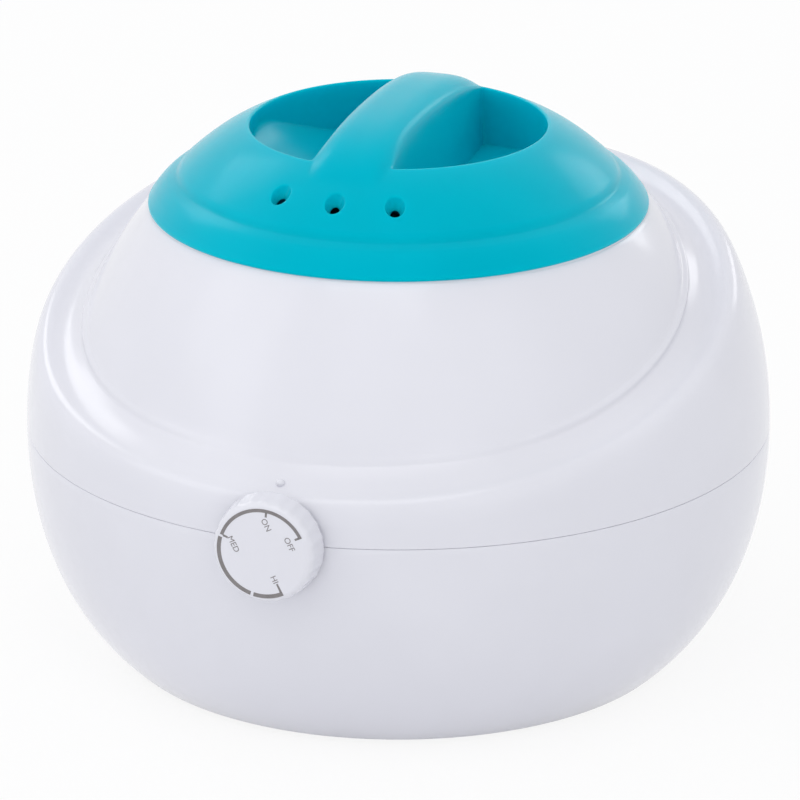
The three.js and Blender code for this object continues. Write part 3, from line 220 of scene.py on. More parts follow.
def combined(mesh, operation, tool):
    """Joins, cuts or intersects; the first mesh is used up and the tool can serve again."""
    tool_object = linked(tool)
    target = linked(mesh)
    boolean = target.modifiers.new("work", "BOOLEAN")
    boolean.operation = operation
    boolean.solver = "MANIFOLD"
    boolean.object = tool_object
    mesh = evaluated(target)
    bpy.data.objects.remove(tool_object)
    return mesh


def rod(radius, low, high, x=0.0, y=0.0, turns=48):
    """A plain upright cylinder patch, used as a column or a cutter."""
    points, faces = turned([(0, low), (radius, low), (radius, high), (0, high)], turns)
    return points + (x, y, 0), faces


def laid_down(patch, side, z):
    """Lays an upright patch down so that its top points to the front (-1) or to the back (1)."""
    points, faces = patch
    return np.stack([points[:, 0], side * points[:, 2], side * -points[:, 1] + z], -1), faces


# %% [markdown]
# ## Building node trees
# One small function adds a node, sets its inputs and makes its links. It serves the materials and
# the Geometry Nodes alike: an input is either a plain value or another node's output. A kind
# without a family name, such as Math, is a shader node, and every tree here knows those.

# %% Adding a node
def new_node(tree, kind, inputs=(), **settings):
    """Settings are the node's own properties, such as an operation."""
    family = "" if kind.startswith(("Geometry", "Function", "NodeGroup")) else "ShaderNode"
    node = tree.nodes.new(family + kind)
    for key, value in settings.items():
        setattr(node, key, value)
    for socket, value in dict(inputs).items():
        if isinstance(value, bpy.types.NodeSocket):
            tree.links.new(value, node.inputs[socket])
        else:
            node.inputs[socket].default_value = value
    return node


def add(tree, kind, inputs=(), **settings):
    """The first output of a new node."""
    return new_node(tree, kind, inputs, **settings).outputs[0]


def tree_math(tree, operation, first, second=0.0):
    return add(tree, "Math", {0: first, 1: second}, operation=operation)


def xyz(tree, x=0.0, y=0.0, z=0.0):
    return add(tree, "CombineXYZ", {0: x, 1: y, 2: z})


def fresh_tree(owner):
    """Turns on the nodes of a material or a world and empties its tree."""
    owner.use_nodes = True
    owner.node_tree.nodes.clear()
    return owner.node_tree


def linear(colour):
    """An sRGB hex colour as the linear colour that shaders want."""
    parts = [int(colour[i:i + 2], 16) / 255 for i in (1, 3, 5)]
    return [c / 12.92 if c <= 0.04045 else ((c + 0.055) / 1.055) ** 2.4 for c in parts] + [1]


def tree_with(name, **inputs):
    """A Geometry Nodes tree with named inputs, listed by their kind."""
    tree = bpy.data.node_groups.new(name, "GeometryNodeTree")
    for kind, labels in inputs.items():
        for label in labels:
            tree.interface.new_socket(label, in_out="INPUT", socket_type="NodeSocket" + kind)
    tree.interface.new_socket("Geometry", in_out="OUTPUT", socket_type="NodeSocketGeometry")
    return tree, new_node(tree, "NodeGroupInput").outputs


def flat_grid(tree, columns, rows):
    """A unit grid in the middle of the plane, and the X and Y of its points."""
    grid = add(tree, "GeometryNodeMeshGrid", {
        "Size X": 1.0, "Size Y": 1.0, "Vertices X": columns, "Vertices Y": rows})
    place = add(tree, "GeometryNodeInputPosition")
    return grid, *new_node(tree, "SeparateXYZ", {0: place}).outputs[:2]


def welded(tree, geometry):
    return add(tree, "GeometryNodeMergeByDistance", {"Geometry": geometry, "Distance": 0.001 * MM})


def close_tree(tree, geometry, material):
    """Ends a tree with real geometry in one material."""
    real = add(tree, "GeometryNodeRealizeInstances", {"Geometry": geometry})
    done = add(tree, "GeometryNodeSetMaterial", {"Geometry": real, "Material": material})
    new_node(tree, "NodeGroupOutput", {"Geometry": done})


def grown(name, tree, values):
    """Runs a tree with its inputs set by identifier and returns the plain mesh."""
    holder = linked(bpy.data.meshes.new(name))
    modifier = holder.modifiers.new("tree", "NODES")
    modifier.node_group = tree
    for item in tree.interface.items_tree:
        if item.in_out == "INPUT" and item.name in values:
            modifier[item.identifier] = values[item.name]
    return evaluated(holder)


# %% [markdown]
# ## Finishes
# Every finish reads Object coordinates, which are metres in the frame, so a pattern's scale is one
# over its real size in metres.

# %% Starting a finish
def start_finish(name):
    material = bpy.data.materials.new(name)
    tree = fresh_tree(material)
    shader = new_node(tree, "BsdfPrincipled")
    new_node(tree, "OutputMaterial", {"Surface": shader.outputs[0]})
    where = new_node(tree, "TexCoord").outputs["Object"]
    return material, tree, shader, where


def noise(tree, where, size, detail=2.0):
    """Soft noise whose blotches are about this many metres across."""
    settings = {"Vector": where, "Scale": 1 / size, "Detail": detail}
    return new_node(tree, "TexNoise", settings).outputs["Fac"]


def between(tree, amount, low, high):
    """Spreads a noise over a range of values."""
    settings = {"Value": amount, "From Min": 0.3, "From Max": 0.7, "To Min": low, "To Max": high}
    return add(tree, "MapRange", settings)


def mixed(tree, share, colour, shade):
    """Two close colours, mixed by a pattern."""
    return new_node(tree, "Mix", {0: share, 6: linear(colour), 7: linear(shade)},
                    data_type="RGBA").outputs[2]


def relief(tree, pattern, depth, **below):
    """A bump as deep as the pattern's full range, in metres, laid over another one."""
    return add(tree, "Bump", {"Height": pattern, "Distance": depth, "Strength": 1.0, **below})


def close_finish(material, shader, patterns, constants):
    """Links colour, roughness and relief, and sets the shader's plain values."""
    for socket, pattern in zip(("Base Color", "Roughness", "Normal"), patterns):
        material.node_tree.links.new(pattern, shader.inputs[socket])
    for socket, value in constants.items():
        shader.inputs[socket].default_value = value
    return material


# %% [markdown]
# ### Moulded plastic
# The housing and the lid are injection-moulded ABS, polished to a gloss. A polished mould leaves a
# very even colour, a faint orange-peel skin a couple of millimetres across and slow waves where the
# thick wall sank as it cooled. The eye reads these only in the reflections, so they live in the
# roughness and in bumps of 0.004 and 0.02 mm. The teal of the lid also colours what it reflects,
# and some light soaks into its thin wall before it comes back.

# %% Moulded plastics
def moulded(name, colour, shade, roughness, level=0.5, tint="#FFFFFF", soaked=0.0):
    """Level and tint set the reflection, soaked is the share of light that enters the wall."""
    material, tree, shader, where = start_finish(name)
    tone = mixed(tree, between(tree, noise(tree, where, 0.045), 0, 1), colour, shade)
    skin = between(tree, noise(tree, where, 0.006, 3), roughness - 0.03, roughness + 0.03)
    peel = relief(tree, noise(tree, where, 0.0022, 1), 0.000004)
    waves = relief(tree, noise(tree, where, 0.03, 1), 0.00002, Normal=peel)
    return close_finish(material, shader, (tone, skin, waves), {
        "IOR": 1.53, "Specular IOR Level": level, "Specular Tint": linear(tint),
        "Subsurface Weight": soaked, "Subsurface Radius": (0.3, 1, 1), "Subsurface Scale": 0.006})


white_abs = moulded("glossy_white_abs", "#E4E4EC", "#E1E1E9", 0.18)
teal_abs = moulded("glossy_teal_abs", "#00B7CD", "#00B2C8", 0.22, 0.13, "#00DCF2", 0.5)
black_nylon = moulded("satin_black_nylon", "#26262A", "#2E2E31", 0.45)

# %% [markdown]
# ### Ink, rubbers and felt
# The dial's marks are pad-printed: a thin, slightly uneven film of taupe ink, less glossy than the
# plastic under it. Feet and seal are moulded rubbers, matt with a fine grain from the mould. The
# felt round the heater is matt as well, with a sheen from its loose fibres.

# %% Ink, rubbers and felt
def matt_grain(name, colour, shade, roughness, grain, depth, sheen=0.0):
    material, tree, shader, where = start_finish(name)
    tone = mixed(tree, between(tree, noise(tree, where, grain * 4, 3), 0, 1), colour, shade)
    rough = between(tree, noise(tree, where, grain * 6), roughness - 0.05, roughness + 0.05)
    skin = relief(tree, noise(tree, where, grain, 3), depth)
    return close_finish(material, shader, (tone, rough, skin), {"Sheen Weight": sheen})


taupe_ink = matt_grain("pad_printed_taupe_ink", "#7C7879", "#878384", 0.5, 0.0006, 0.000004)
grey_rubber = matt_grain("moulded_grey_rubber", "#54555A", "#5E5F63", 0.8, 0.0005, 0.00003)
red_silicone = matt_grain("red_silicone_seal", "#B5452F", "#A83D29", 0.6, 0.0008, 0.00001)
fibre_felt = matt_grain("needled_glass_felt", "#ECE7D8", "#D9D2BE", 0.95, 0.0009, 0.0002, 0.3)

# %% [markdown]
# ### Spun aluminium
# Pot and well are spun and drawn from sheet, and the tool leaves fine rings round the axis. The
# noise is fed with radius and height at a fine scale and with the direction round the axis at a
# coarse one, so its blotches stretch into rings with no seam.

# %% Spun aluminium
def spun_metal(name, colour, shade, low, high, line):
    material, tree, shader, where = start_finish(name)
    centred = add(tree, "Mapping", {"Vector": where, "Location": (0, -AXIS_Y * MM, 0)})
    parts = new_node(tree, "SeparateXYZ", {0: centred})
    flat = xyz(tree, parts.outputs[0], parts.outputs[1])
    radius = new_node(tree, "VectorMath", {0: flat}, operation="LENGTH")
    heading = add(tree, "VectorMath", {0: flat}, operation="NORMALIZE")
    turn = new_node(tree, "SeparateXYZ", {0: heading})
    rings = [tree_math(tree, "MULTIPLY", value, 1 / line)
             for value in (radius.outputs["Value"], parts.outputs[2])]
    feed = xyz(tree, *rings, turn.outputs[0])
    lines = new_node(tree, "TexNoise", {
        "Vector": feed, "W": turn.outputs[1], "Scale": 1.0, "Detail": 3.0},
        noise_dimensions="4D").outputs["Fac"]
    tone = mixed(tree, between(tree, lines, 0, 1), colour, shade)
    patterns = tone, between(tree, lines, low, high), relief(tree, lines, 0.000012)
    return close_finish(material, shader, patterns, {"Metallic": 1, "Anisotropic": 0.5})


spun_aluminium = spun_metal("spun_aluminium", "#D5D7DA", "#C3C6CA", 0.24, 0.36, 0.0009)
drawn_aluminium = spun_metal("drawn_aluminium_sheet", "#BFC2C6", "#AEB1B6", 0.34, 0.46, 0.0014)

# %% [markdown]
# ### Plated steel, heater band and ceramic
# Zinc plating has a faint spangle of crystals, here one to two millimetres wide. The heater band is
# mica held between steel sheets, so it shows flakes. The terminal block is glazed ceramic, with a
# smooth skin and a few warm flecks.

# %% Crystal finishes
def crystals(name, colour, shade, size, metallic, low, high):
    material, tree, shader, where = start_finish(name)
    cells = new_node(tree, "TexVoronoi", {"Vector": where, "Scale": 1 / size})
    facet = add(tree, "SeparateColor", {0: cells.outputs["Color"]})
    rough = add(tree, "MapRange", {"Value": facet, "To Min": low, "To Max": high})
    scuff = relief(tree, noise(tree, where, size / 2, 3), 0.00001)
    patterns = mixed(tree, facet, colour, shade), rough, scuff
    return close_finish(material, shader, patterns, {"Metallic": metallic})


zinc_steel = crystals("zinc_plated_steel", "#B4B8BD", "#A2A7AD", 0.0015, 1, 0.26, 0.4)
mica_band = crystals("mica_and_steel_band", "#B9AC8E", "#A4977A", 0.004, 0.4, 0.35, 0.55)
glazed_ceramic = crystals("glazed_ivory_ceramic", "#EAE4D5", "#E4DCC9", 0.008, 0, 0.14, 0.2)

# %% [markdown]
# ## Dressing a piece
# Each finished mesh becomes an object that rides on a CAD body and, where it stands for a CAD node,
# hides that node.

# %% Dress
def paint(mesh, material):
    mesh.materials.clear()
    mesh.materials.append(material)
    mesh.polygons.foreach_set("material_index", np.zeros(len(mesh.polygons), np.int32))


def dress(mesh, material, body, slot, *nodes):
    paint(mesh, material)
    piece = linked(mesh)
    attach(piece, body)
    if nodes:
        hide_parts(*nodes)
    return piece


# %% [markdown]
# ## Upper housing
# The side wall leans in a little above the parting line and turns over a soft shoulder ridge. That
# ridge is low at the front and high at the back, so the whole ring looks tilted. Inside the ridge a
# shallow channel widens towards the back, and a panel climbs from there to the lid's seat. All of
# it is one profile whose sizes follow the angle round the body, so a sweep with 288 steps makes it.

# %% Shape of the housing's side
BODY_RADIUS = 120
PARTING_Z = 77
SEAM = 0.07
LEAN_RADIUS = 128
SEAT_RADIUS, SEAT_Z = 79.4, 149.2
WALL = 3
BEAD_WIDTH, BEAD_HEIGHT = 3.6, 1.1
CREST_INSET, TURN_DROP = 2, 8
CHANNEL_FRONT, CHANNEL_EXTRA = 0.3, 4
PANEL_CROWN, PANEL_END = 4.36, 0.8
SEAT_UNDERSIDE = 139.2
LEDGE_Z = PARTING_Z + 2.65


def wall_radius(height):
    """The wall leans in as part of a circle above the parting line."""
    return BODY_RADIUS - (height - PARTING_Z) ** 2 / (2 * LEAN_RADIUS)


def shoulder_ridge(angle):
    """Radius and height of the ridge; three cosines follow its tilt in the picture."""
    height = 121 - 29 * np.cos(angle) - 2.2 * np.cos(2 * angle) + 2.3 * np.cos(3 * angle)
    return wall_radius(height) - 2, height


def panel_foot(angle):
    """Radius and height of the panel's foot, at the channel's inner side."""
    radius, height = shoulder_ridge(angle)
    return radius - 13.5 + 3.1 * np.cos(angle), height + 1.9 + 4.3 * np.cos(angle)


def side_profile(angle, wall, ridge, channel, panel, bead_height):
    """The side from the parting line to the seat, one row of points for each angle."""
    ridge_radius, ridge_z = shoulder_ridge(angle)
    foot_radius, foot_z = panel_foot(angle)
    back = (1 - np.cos(angle)) / 2
    turn_z = ridge_z - TURN_DROP
    crest = ridge_radius - CREST_INSET
    rows = []
    for t in wall:
        height = PARTING_Z + SEAM + (turn_z - PARTING_Z - SEAM) * t
        rows.append((wall_radius(height), height))
    over = [(wall_radius(turn_z), turn_z), (wall_radius(ridge_z - 1), ridge_z + 0.4),
            (crest, ridge_z)]
    rows += [tuple(bezier(over, t)) for t in ridge]
    for t in channel:
        dip = (CHANNEL_FRONT + CHANNEL_EXTRA * back) * sin(pi * t)
        rows.append((crest + (foot_radius - crest) * t, ridge_z + (foot_z - ridge_z) * t - dip))
    along = np.stack([SEAT_RADIUS - foot_radius, SEAT_Z - foot_z])
    length = np.linalg.norm(along, axis=0)
    along = along / length
    bead = bead_height * np.minimum(1, 2 * back)
    climb = []
    for distance in np.linspace(0, BEAD_WIDTH, 9)[:-1] if bead_height else [0]:
        climb.append((distance, bead * sin(pi * distance / BEAD_WIDTH) ** 2))
    for t in panel:
        crown = PANEL_CROWN * t * (1 - t) if bead_height else 0
        climb.append((BEAD_WIDTH + (length - BEAD_WIDTH - PANEL_END) * t, crown))
    for distance, proud in climb:
        rows.append((foot_radius + along[0] * distance + along[1] * proud,
                     foot_z + along[1] * distance - along[0] * proud))
    return np.array(rows).transpose(2, 0, 1)


# %% Build the upper shell
TURNS = 288
angles = full_turn(TURNS)
WALL_ROWS, RIDGE_ROWS, CHANNEL_ROWS = 17, 13, 17
SMOOTHING = 9
outside = side_profile(
    angles, np.linspace(0.003, 1, WALL_ROWS + 1)[:-1], np.linspace(0, 1, RIDGE_ROWS),
    np.linspace(0, 1, CHANNEL_ROWS + 2)[1:-1], np.linspace(0, 1, 21), BEAD_HEIGHT)
first, last = WALL_ROWS, WALL_ROWS + RIDGE_ROWS + CHANNEL_ROWS - 1
for _ in range(SMOOTHING):
    outside[:, first:last] = (outside[:, first - 1:last - 1] + 2 * outside[:, first:last]
                              + outside[:, first + 1:last + 1]) / 4

hollow = inset(side_profile(angles, np.linspace(0, 1, 5)[:-1], [0, 0.5, 1], [0.33, 0.67],
                            np.linspace(0, 1, 9), 0), WALL)
hollow[:, :, 1] = np.minimum(hollow[:, :, 1], SEAT_UNDERSIDE)
hollow[:, 0] = (BODY_RADIUS - WALL, LEDGE_Z)

seat = rounded([(78.9, 150.0, 0), (SEAT_RADIUS, SEAT_Z, 0.5), (76, SEAT_Z, 0.4), (76, 142.2, 0),
                (69.8, 142.2, 0.3), (69.8, SEAT_UNDERSIDE, 0), (70.4, SEAT_UNDERSIDE, 0)])[1:]
seat[0] = (SEAT_RADIUS, SEAT_Z - 0.4)
rebate = np.array([(118.6, LEDGE_Z), (118.6, PARTING_Z + SEAM), (119.75, PARTING_Z + SEAM),
                   (119.92, PARTING_Z + SEAM + 0.05)])
everywhere = (TURNS, 1, 1)
upper_profile = np.concatenate([outside, np.tile(seat, everywhere), hollow[:, ::-1],
                                np.tile(rebate, everywhere)], axis=1)
upper_shell = closed_mesh("upper_shell", [swept(upper_profile, closed=True)], sharp=38)

# %% [markdown]
# ## Lower housing
# The bowl's side is one smooth curve from the narrow base to the widest circle. Because the whole
# surface follows that one rule, Geometry Nodes make it: a flat grid is wrapped round the axis, and
# its rows are laid on a curve that is mixed from four control points. The inside, the floor and the
# tongue that the upper shell drops over are turned from an outline and welded to it.

# %% A tree that lays a grid on a turned curve
bowl_tree, given = tree_with(
    "turned_curve_side", Int=["Steps Around", "Steps Up"], Material=["Material"],
    Float=["Axis Y"] + [f"{part} {k}" for k in range(4) for part in ("Radius", "Height")])

columns = tree_math(bowl_tree, "ADD", given["Steps Around"], 1)
rows_up = tree_math(bowl_tree, "ADD", given["Steps Up"], 1)
grid, grid_x, grid_y = flat_grid(bowl_tree, columns, rows_up)
turn_angle = tree_math(bowl_tree, "MULTIPLY", tree_math(bowl_tree, "ADD", grid_x, 0.5), 2 * pi)
rise = tree_math(bowl_tree, "ADD", grid_y, 0.5)
controls = []
for k in range(4):
    outwards = tree_math(bowl_tree, "MULTIPLY", given[f"Radius {k}"], -1.0)
    controls.append(xyz(bowl_tree, y=outwards, z=given[f"Height {k}"]))
while len(controls) > 1:
    controls = [new_node(bowl_tree, "Mix", {0: rise, 4: low, 5: high},
                         data_type="VECTOR").outputs[1]
                for low, high in zip(controls, controls[1:])]
wrapped = add(bowl_tree, "VectorRotate", {"Vector": controls[0], "Angle": turn_angle},
              rotation_type="Z_AXIS")
axis_shift = xyz(bowl_tree, y=given["Axis Y"])
laid = add(bowl_tree, "GeometryNodeSetPosition", {
    "Geometry": grid, "Position": wrapped, "Offset": axis_shift})
close_tree(bowl_tree, welded(bowl_tree, laid), given["Material"])

# %% Wrap the bowl's side
BASE_Z = 1.5
BOWL = [(90.5, BASE_Z), (101.8, 11.3), (120, 33.2), (120, PARTING_Z - SEAM)]
EDGE = 0.2
settings = {"Steps Around": TURNS, "Steps Up": 56, "Axis Y": AXIS_Y * MM, "Material": white_abs}
for k, (radius, height) in enumerate(BOWL):
    settings[f"Radius {k}"] = radius * MM
    settings[f"Height {k}"] = (height - (EDGE if k == 3 else 0)) * MM
bowl_side = grown("bowl_side", bowl_tree, settings)

# %% Turn the rest of the lower shell and weld it on
side = bezier(BOWL, np.linspace(0, 1, 25)[:, None])
inside_wall = inset(side, WALL)
inside_wall = inside_wall[(inside_wall[:, 1] > 6.4) & (inside_wall[:, 1] < 74)]
top = PARTING_Z - SEAM
rest = np.concatenate([
    [(120, top - EDGE), (119.94, top - 0.06), (119.75, top), (118.3, top), (118.3, top + 2.2),
     (118.0, top + 2.5), (117.3, top + 2.5), (117, top + 2.2), (117, top - 1)],
    inside_wall[::-1], [(inside_wall[0][0] - 2.5, 6), (0, 6)], [(0, 3), (75.4, 3)],
    rounded([(75.4, 3, 0), (76, 3, 0.4), (77, BASE_Z, 0.4), (90.5, BASE_Z, 0)])[1:]])
lower_shell = closed_mesh("lower_shell", [
    patch_of(bowl_side, (0, -AXIS_Y, 0)), turned(rest, TURNS)])

# %% [markdown]
# Four columns take the screws that hold the halves together, and the inlet bush sits in a flat
# recess at the back with a pad of extra wall behind it. The control's shaft passes through a hole
# that is half in each shell.

# %% Columns, screw bores, inlet recess and shaft hole
gland_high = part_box("cable_gland")[1] / MM
GLAND_Z = 44
gland_face = gland_high.y - AXIS_Y - 2.7
gland_back = gland_face - 5
POST_CIRCLE, POST_RADIUS = 84.5, 6
BORE_RADIUS, BORE_TOP = 4.55, 63.85
PAD_RADIUS, RECESS_RADIUS, INLET_RADIUS = 12, 10, 6
SHAFT_HOLE_RADIUS = 4.3
corners = on_circle(POST_CIRCLE, np.arange(1, 8, 2) * pi / 4)
bowl_solid = closed_mesh("bowl_solid", [turned(
    np.concatenate([[(0, 3), (76, 3), (77, BASE_Z)], side, [(0, top)]]), TURNS)])
pad = closed_mesh("pad", [laid_down(rod(PAD_RADIUS, gland_back, 120), 1, GLAND_Z)])
pad = combined(pad, "INTERSECT", bowl_solid)
posts = closed_mesh("posts", [rod(POST_RADIUS, 2.4, top - 0.2, x, y) for x, y in corners])
lower_shell = combined(combined(lower_shell, "UNION", posts), "UNION", pad)
cutters = closed_mesh("cutters", [rod(BORE_RADIUS, 0, BORE_TOP, x, y) for x, y in corners] + [
    laid_down(rod(RECESS_RADIUS, gland_face, 126), 1, GLAND_Z)])
inlet_hole = closed_mesh("inlet_hole", [
    laid_down(rod(INLET_RADIUS, gland_back - 2, gland_face + 1), 1, GLAND_Z)])
shaft_hole = closed_mesh("shaft_hole", [
    laid_down(rod(SHAFT_HOLE_RADIUS, 105, 124), -1, PARTING_Z)])
lower_shell = combined(combined(lower_shell, "DIFFERENCE", cutters), "DIFFERENCE", inlet_hole)
lower_shell = tidy(combined(lower_shell, "DIFFERENCE", shaft_hole))
upper_shell = tidy(combined(upper_shell, "DIFFERENCE", shaft_hole), 38)
dress(lower_shell, white_abs, "housing", "white_plastic", "lower_housing")
dress(upper_shell, white_abs, "housing", "white_plastic", "upper_housing")

# %% [markdown]
# A small raised dot on the ledge shows where to read the dial.

# %% Index dot
DOT_RADIUS, DOT_HEIGHT = 1.5, 1.3
DOT_SHARE = 0.3
ridge_radius, ridge_z = shoulder_ridge(0.0)
foot_radius, foot_z = panel_foot(0.0)
crest = ridge_radius - CREST_INSET
dot_radius = crest + (foot_radius - crest) * DOT_SHARE
dot_z = ridge_z + (foot_z - ridge_z) * DOT_SHARE - 0.3
curve = [(DOT_RADIUS * sin(t), DOT_HEIGHT * cos(t)) for t in np.linspace(0, pi, 25)]
points, faces = turned(curve, 48)
dot = closed_mesh("index_dot", [(points + (0, -dot_radius, dot_z), faces)])
dress(dot, white_abs, "housing", "white_plastic")

# %% [markdown]
# ## Lid
# The lid is one teal moulding: a low dome over a flared rim, with two D-shaped finger pockets and a
# raised bar left standing between them. A boolean would leave hard cut edges, so the surface is
# worked out instead. Round each pocket, loops of points follow the rim's rounding, the drafted wall
# and the fillet at its foot, and a flat triangulation fills the dome between the loops before its
# points are lifted to their heights. The underside is made the same way, 2.5 mm further in.

# %% Heights of the lid
LID_WALL = 2.5
DOME = [(71.5, 159.4), (52.8, 177.5), (40, 181.7), (0, 181.7)]
POCKET_RADIUS = 47.5
BAR_HALF = 13
CROWN_HALF_WIDTH, CROWN_HALF_LENGTH = 12.6, 56.5
CROWN_HEIGHT, CROWN_SINK, CROWN_BLEND = 3.6, 0.6, 0.55
dome_curve = bezier(DOME, np.linspace(0, 1, 400)[:, None])
RIM_Z = float(np.interp(POCKET_RADIUS, dome_curve[::-1, 0], dome_curve[::-1, 1]))
POCKET_DEPTH = 19
inner_curve = inset(dome_curve, LID_WALL)
inner_curve[-1] = (0, DOME[3][1] - LID_WALL)


def on_curve(curve_points, x, y):
    return np.interp(np.hypot(x, y), curve_points[::-1, 0], curve_points[::-1, 1])


def lid_top(x, y):
    """The dome with the bar's crown raised on it, softly joined."""
    dome = on_curve(dome_curve, x, y)
    u = np.clip(np.abs(x) / CROWN_HALF_WIDTH, 0, 1)
    v = np.clip(np.abs(y) / CROWN_HALF_LENGTH, 0, 1)
    crown = CROWN_HEIGHT * (1 - u ** 4) * (1 - v ** 6) - CROWN_SINK
    share = np.clip(0.5 + 0.5 * crown / CROWN_BLEND, 0, 1)
    return dome + crown * share + CROWN_BLEND * share * (1 - share)


def lid_under(x, y):
    return on_curve(inner_curve, x, y)


def pocket_floor(x, y, grow=0.0):
    """A quarter of an ellipse from the bar's foot up to the outer rim."""
    across = np.clip((np.abs(x) - BAR_HALF) / (POCKET_RADIUS - BAR_HALF + 1), 0, 1)
    floor = RIM_Z - grow - POCKET_DEPTH * np.sqrt(1 - across ** 2)
    return np.minimum(floor, lid_under(x, y)) if grow else floor


# %% Loops round one pocket
CORNER = 1.6
ARC_DRAFT = 0.08
FLANK_DRAFT, FLANK_CHANGE = 0.22, 0.17
MIDDLE, FARTHEST = 29, 60.0
HALVINGS = 44


def inside_pocket(x, y, z, grow):
    """How far a point of the right-hand pocket lies inside its drafted wall, in millimetres."""
    drop = RIM_Z - z
    arc = POCKET_RADIUS + grow - ARC_DRAFT * drop - np.hypot(x, y)
    draft = FLANK_DRAFT - FLANK_CHANGE * y / POCKET_RADIUS
    flank = x - (BAR_HALF - grow) - draft * drop
    share = np.clip(0.5 + 0.5 * (flank - arc) / CORNER, 0, 1)
    return flank + (arc - flank) * share - CORNER * share * (1 - share)


def along_rays(rays, level, height, grow):
    """Walks out from the pocket's middle until the wall is reached."""
    near, far = np.zeros_like(rays), np.full_like(rays, FARTHEST)
    for _ in range(HALVINGS):
        reach = (near + far) / 2
        x, y = MIDDLE + reach * np.cos(rays), reach * np.sin(rays)
        inside = inside_pocket(x, y, height(x, y), grow) > level
        near, far = np.where(inside, reach, near), np.where(inside, far, reach)
    return reach


def pocket_loops(grow, surface, rim, fillet, rays):
    """Rows of points from the surface, over the rim, down the wall and across the floor."""
    def at(reach, height):
        x, y = MIDDLE + reach * np.cos(rays), reach * np.sin(rays)
        return np.stack([x, y, height(x, y) if callable(height) else height], -1)

    def floor(x, y):
        return pocket_floor(x, y, grow)

    def on_wall(heights):
        return at(along_rays(rays, 0, lambda x, y: heights, grow), heights)

    outer = at(along_rays(rays, -rim, surface, grow), surface)
    edge = at(along_rays(rays, 0, surface, grow), surface)
    foot_reach = along_rays(rays, 0, floor, grow)
    foot = at(foot_reach, floor)
    fall = np.maximum(edge[:, 2] - foot[:, 2], 0)
    down = np.minimum(rim, 0.4 * fall)
    up = np.minimum(fillet, 0.45 * (fall - down))
    high, low = on_wall(edge[:, 2] - down), on_wall(foot[:, 2] + up)
    inwards = foot_reach - np.maximum(up, 0.3)
    flat = at(inwards, floor)
    rows = [bezier([outer, edge, high], t) for t in np.linspace(0, 1, 7 if rim else 2)]
    rows += [high + (low - high) * t for t in (0.25, 0.5, 0.75)]
    rows += [bezier([low, foot, flat], t) for t in np.linspace(0, 1, 8)]
    rows += [at(inwards * (1 - (1 - t) ** 1.5), floor) for t in np.linspace(1, 0, 30)[1:]]
    return np.array(rows)


LOOP_POINTS = 280
many = np.linspace(-pi, pi, 4001)
reach = along_rays(many, 0, lambda x, y: np.full_like(x, RIM_Z), 0)
way = np.cumsum(np.r_[0, np.hypot(np.diff(reach * np.cos(many)), np.diff(reach * np.sin(many)))])
rays = np.interp(np.arange(LOOP_POINTS) / LOOP_POINTS * way[-1], way, many)
top_loops = pocket_loops(0.0, lid_top, 1.0, 0.8, rays)
under_loops = pocket_loops(LID_WALL, lid_under, 0.0, 1.5, rays)
MIRROR = np.array((-1, 1, 1))
print(f"pocket: {way[-1]:.0f} mm round,",
      f"deepest point {RIM_Z - top_loops[..., 2].min():.1f} mm below its rim")

# %% [markdown]
# Three steam vents pierce the front of the dome. Each has a small rounding at its mouth, which
# catches the light as a thin pale line, and narrows towards the inside so that it leaves the mould.

# %% Vents
VENT_RADIUS = 3
VENT_THROAT = 1.5
VENT_ROUNDING = 0.5
VENT_CIRCLE, VENT_STEP = 61.5, 17.7
vent_places = on_circle(VENT_CIRCLE, np.radians((-VENT_STEP, 0, VENT_STEP)))
around_vent = full_turn(48)


def vent_ring(place, radius, drop=0.0, surface=lid_top):
    x = place[0] + radius * np.cos(around_vent)
    y = place[1] + radius * np.sin(around_vent)
    return np.stack([x, y, surface(x, y) - drop], -1)


def vent_wall(place):
    rows = [vent_ring(place, VENT_RADIUS + VENT_ROUNDING * (1 - sin(t)),
                      VENT_ROUNDING * (1 - cos(t))) for t in np.linspace(0, pi / 2, 6)]
    return rows + [vent_ring(place, VENT_THROAT, surface=lid_under)]


# %% Fill the surfaces between the loops
def in_loop(points, loop):
    """Which points lie inside a closed loop."""
    x, y = points[:, 0, None], points[:, 1, None]
    x0, y0 = loop[:, 0], loop[:, 1]
    x1, y1 = np.roll(x0, -1), np.roll(y0, -1)
    crosses = (y0 > y) != (y1 > y)
    at_x = x0 + (y - y0) * (x1 - x0) / np.where(y1 == y0, 1, y1 - y0)
    return (crosses & (x < at_x)).sum(1) % 2 == 1


def filled(rim, holes, surface, spread):
    """Triangles between an outer loop and its holes, lifted to the surface."""
    free = np.array(spread)
    free = free[in_loop(free, rim[:, :2] * 0.99)]
    for hole in holes:
        centre = hole[:, :2].mean(0)
        size = np.abs(hole[:, :2] - centre).max()
        wider = centre + (hole[:, :2] - centre) * (1 + 0.6 / size)
        free = free[~in_loop(free, wider)]
    loops = [rim] + holes
    flat = np.vstack([loop[:, :2] for loop in loops] + [free])
    edges, first = [], 0
    for loop in loops:
        edges += [(first + i, first + (i + 1) % len(loop)) for i in range(len(loop))]
        first += len(loop)
    result = delaunay_2d_cdt([Vector(p) for p in flat.tolist()], edges, [], 0, 1e-6)
    found = np.array([tuple(p) for p in result[0]])
    faces = np.array(result[2])
    middle = found[faces].mean(1)
    keep = in_loop(middle, rim)
    for hole in holes:
        keep &= ~in_loop(middle, hole)
    points = np.column_stack([found, surface(found[:, 0], found[:, 1])])
    return points, faces[keep]


def circle(radius, height):
    return np.array([(*place, height) for place in on_circle(radius, angles)])


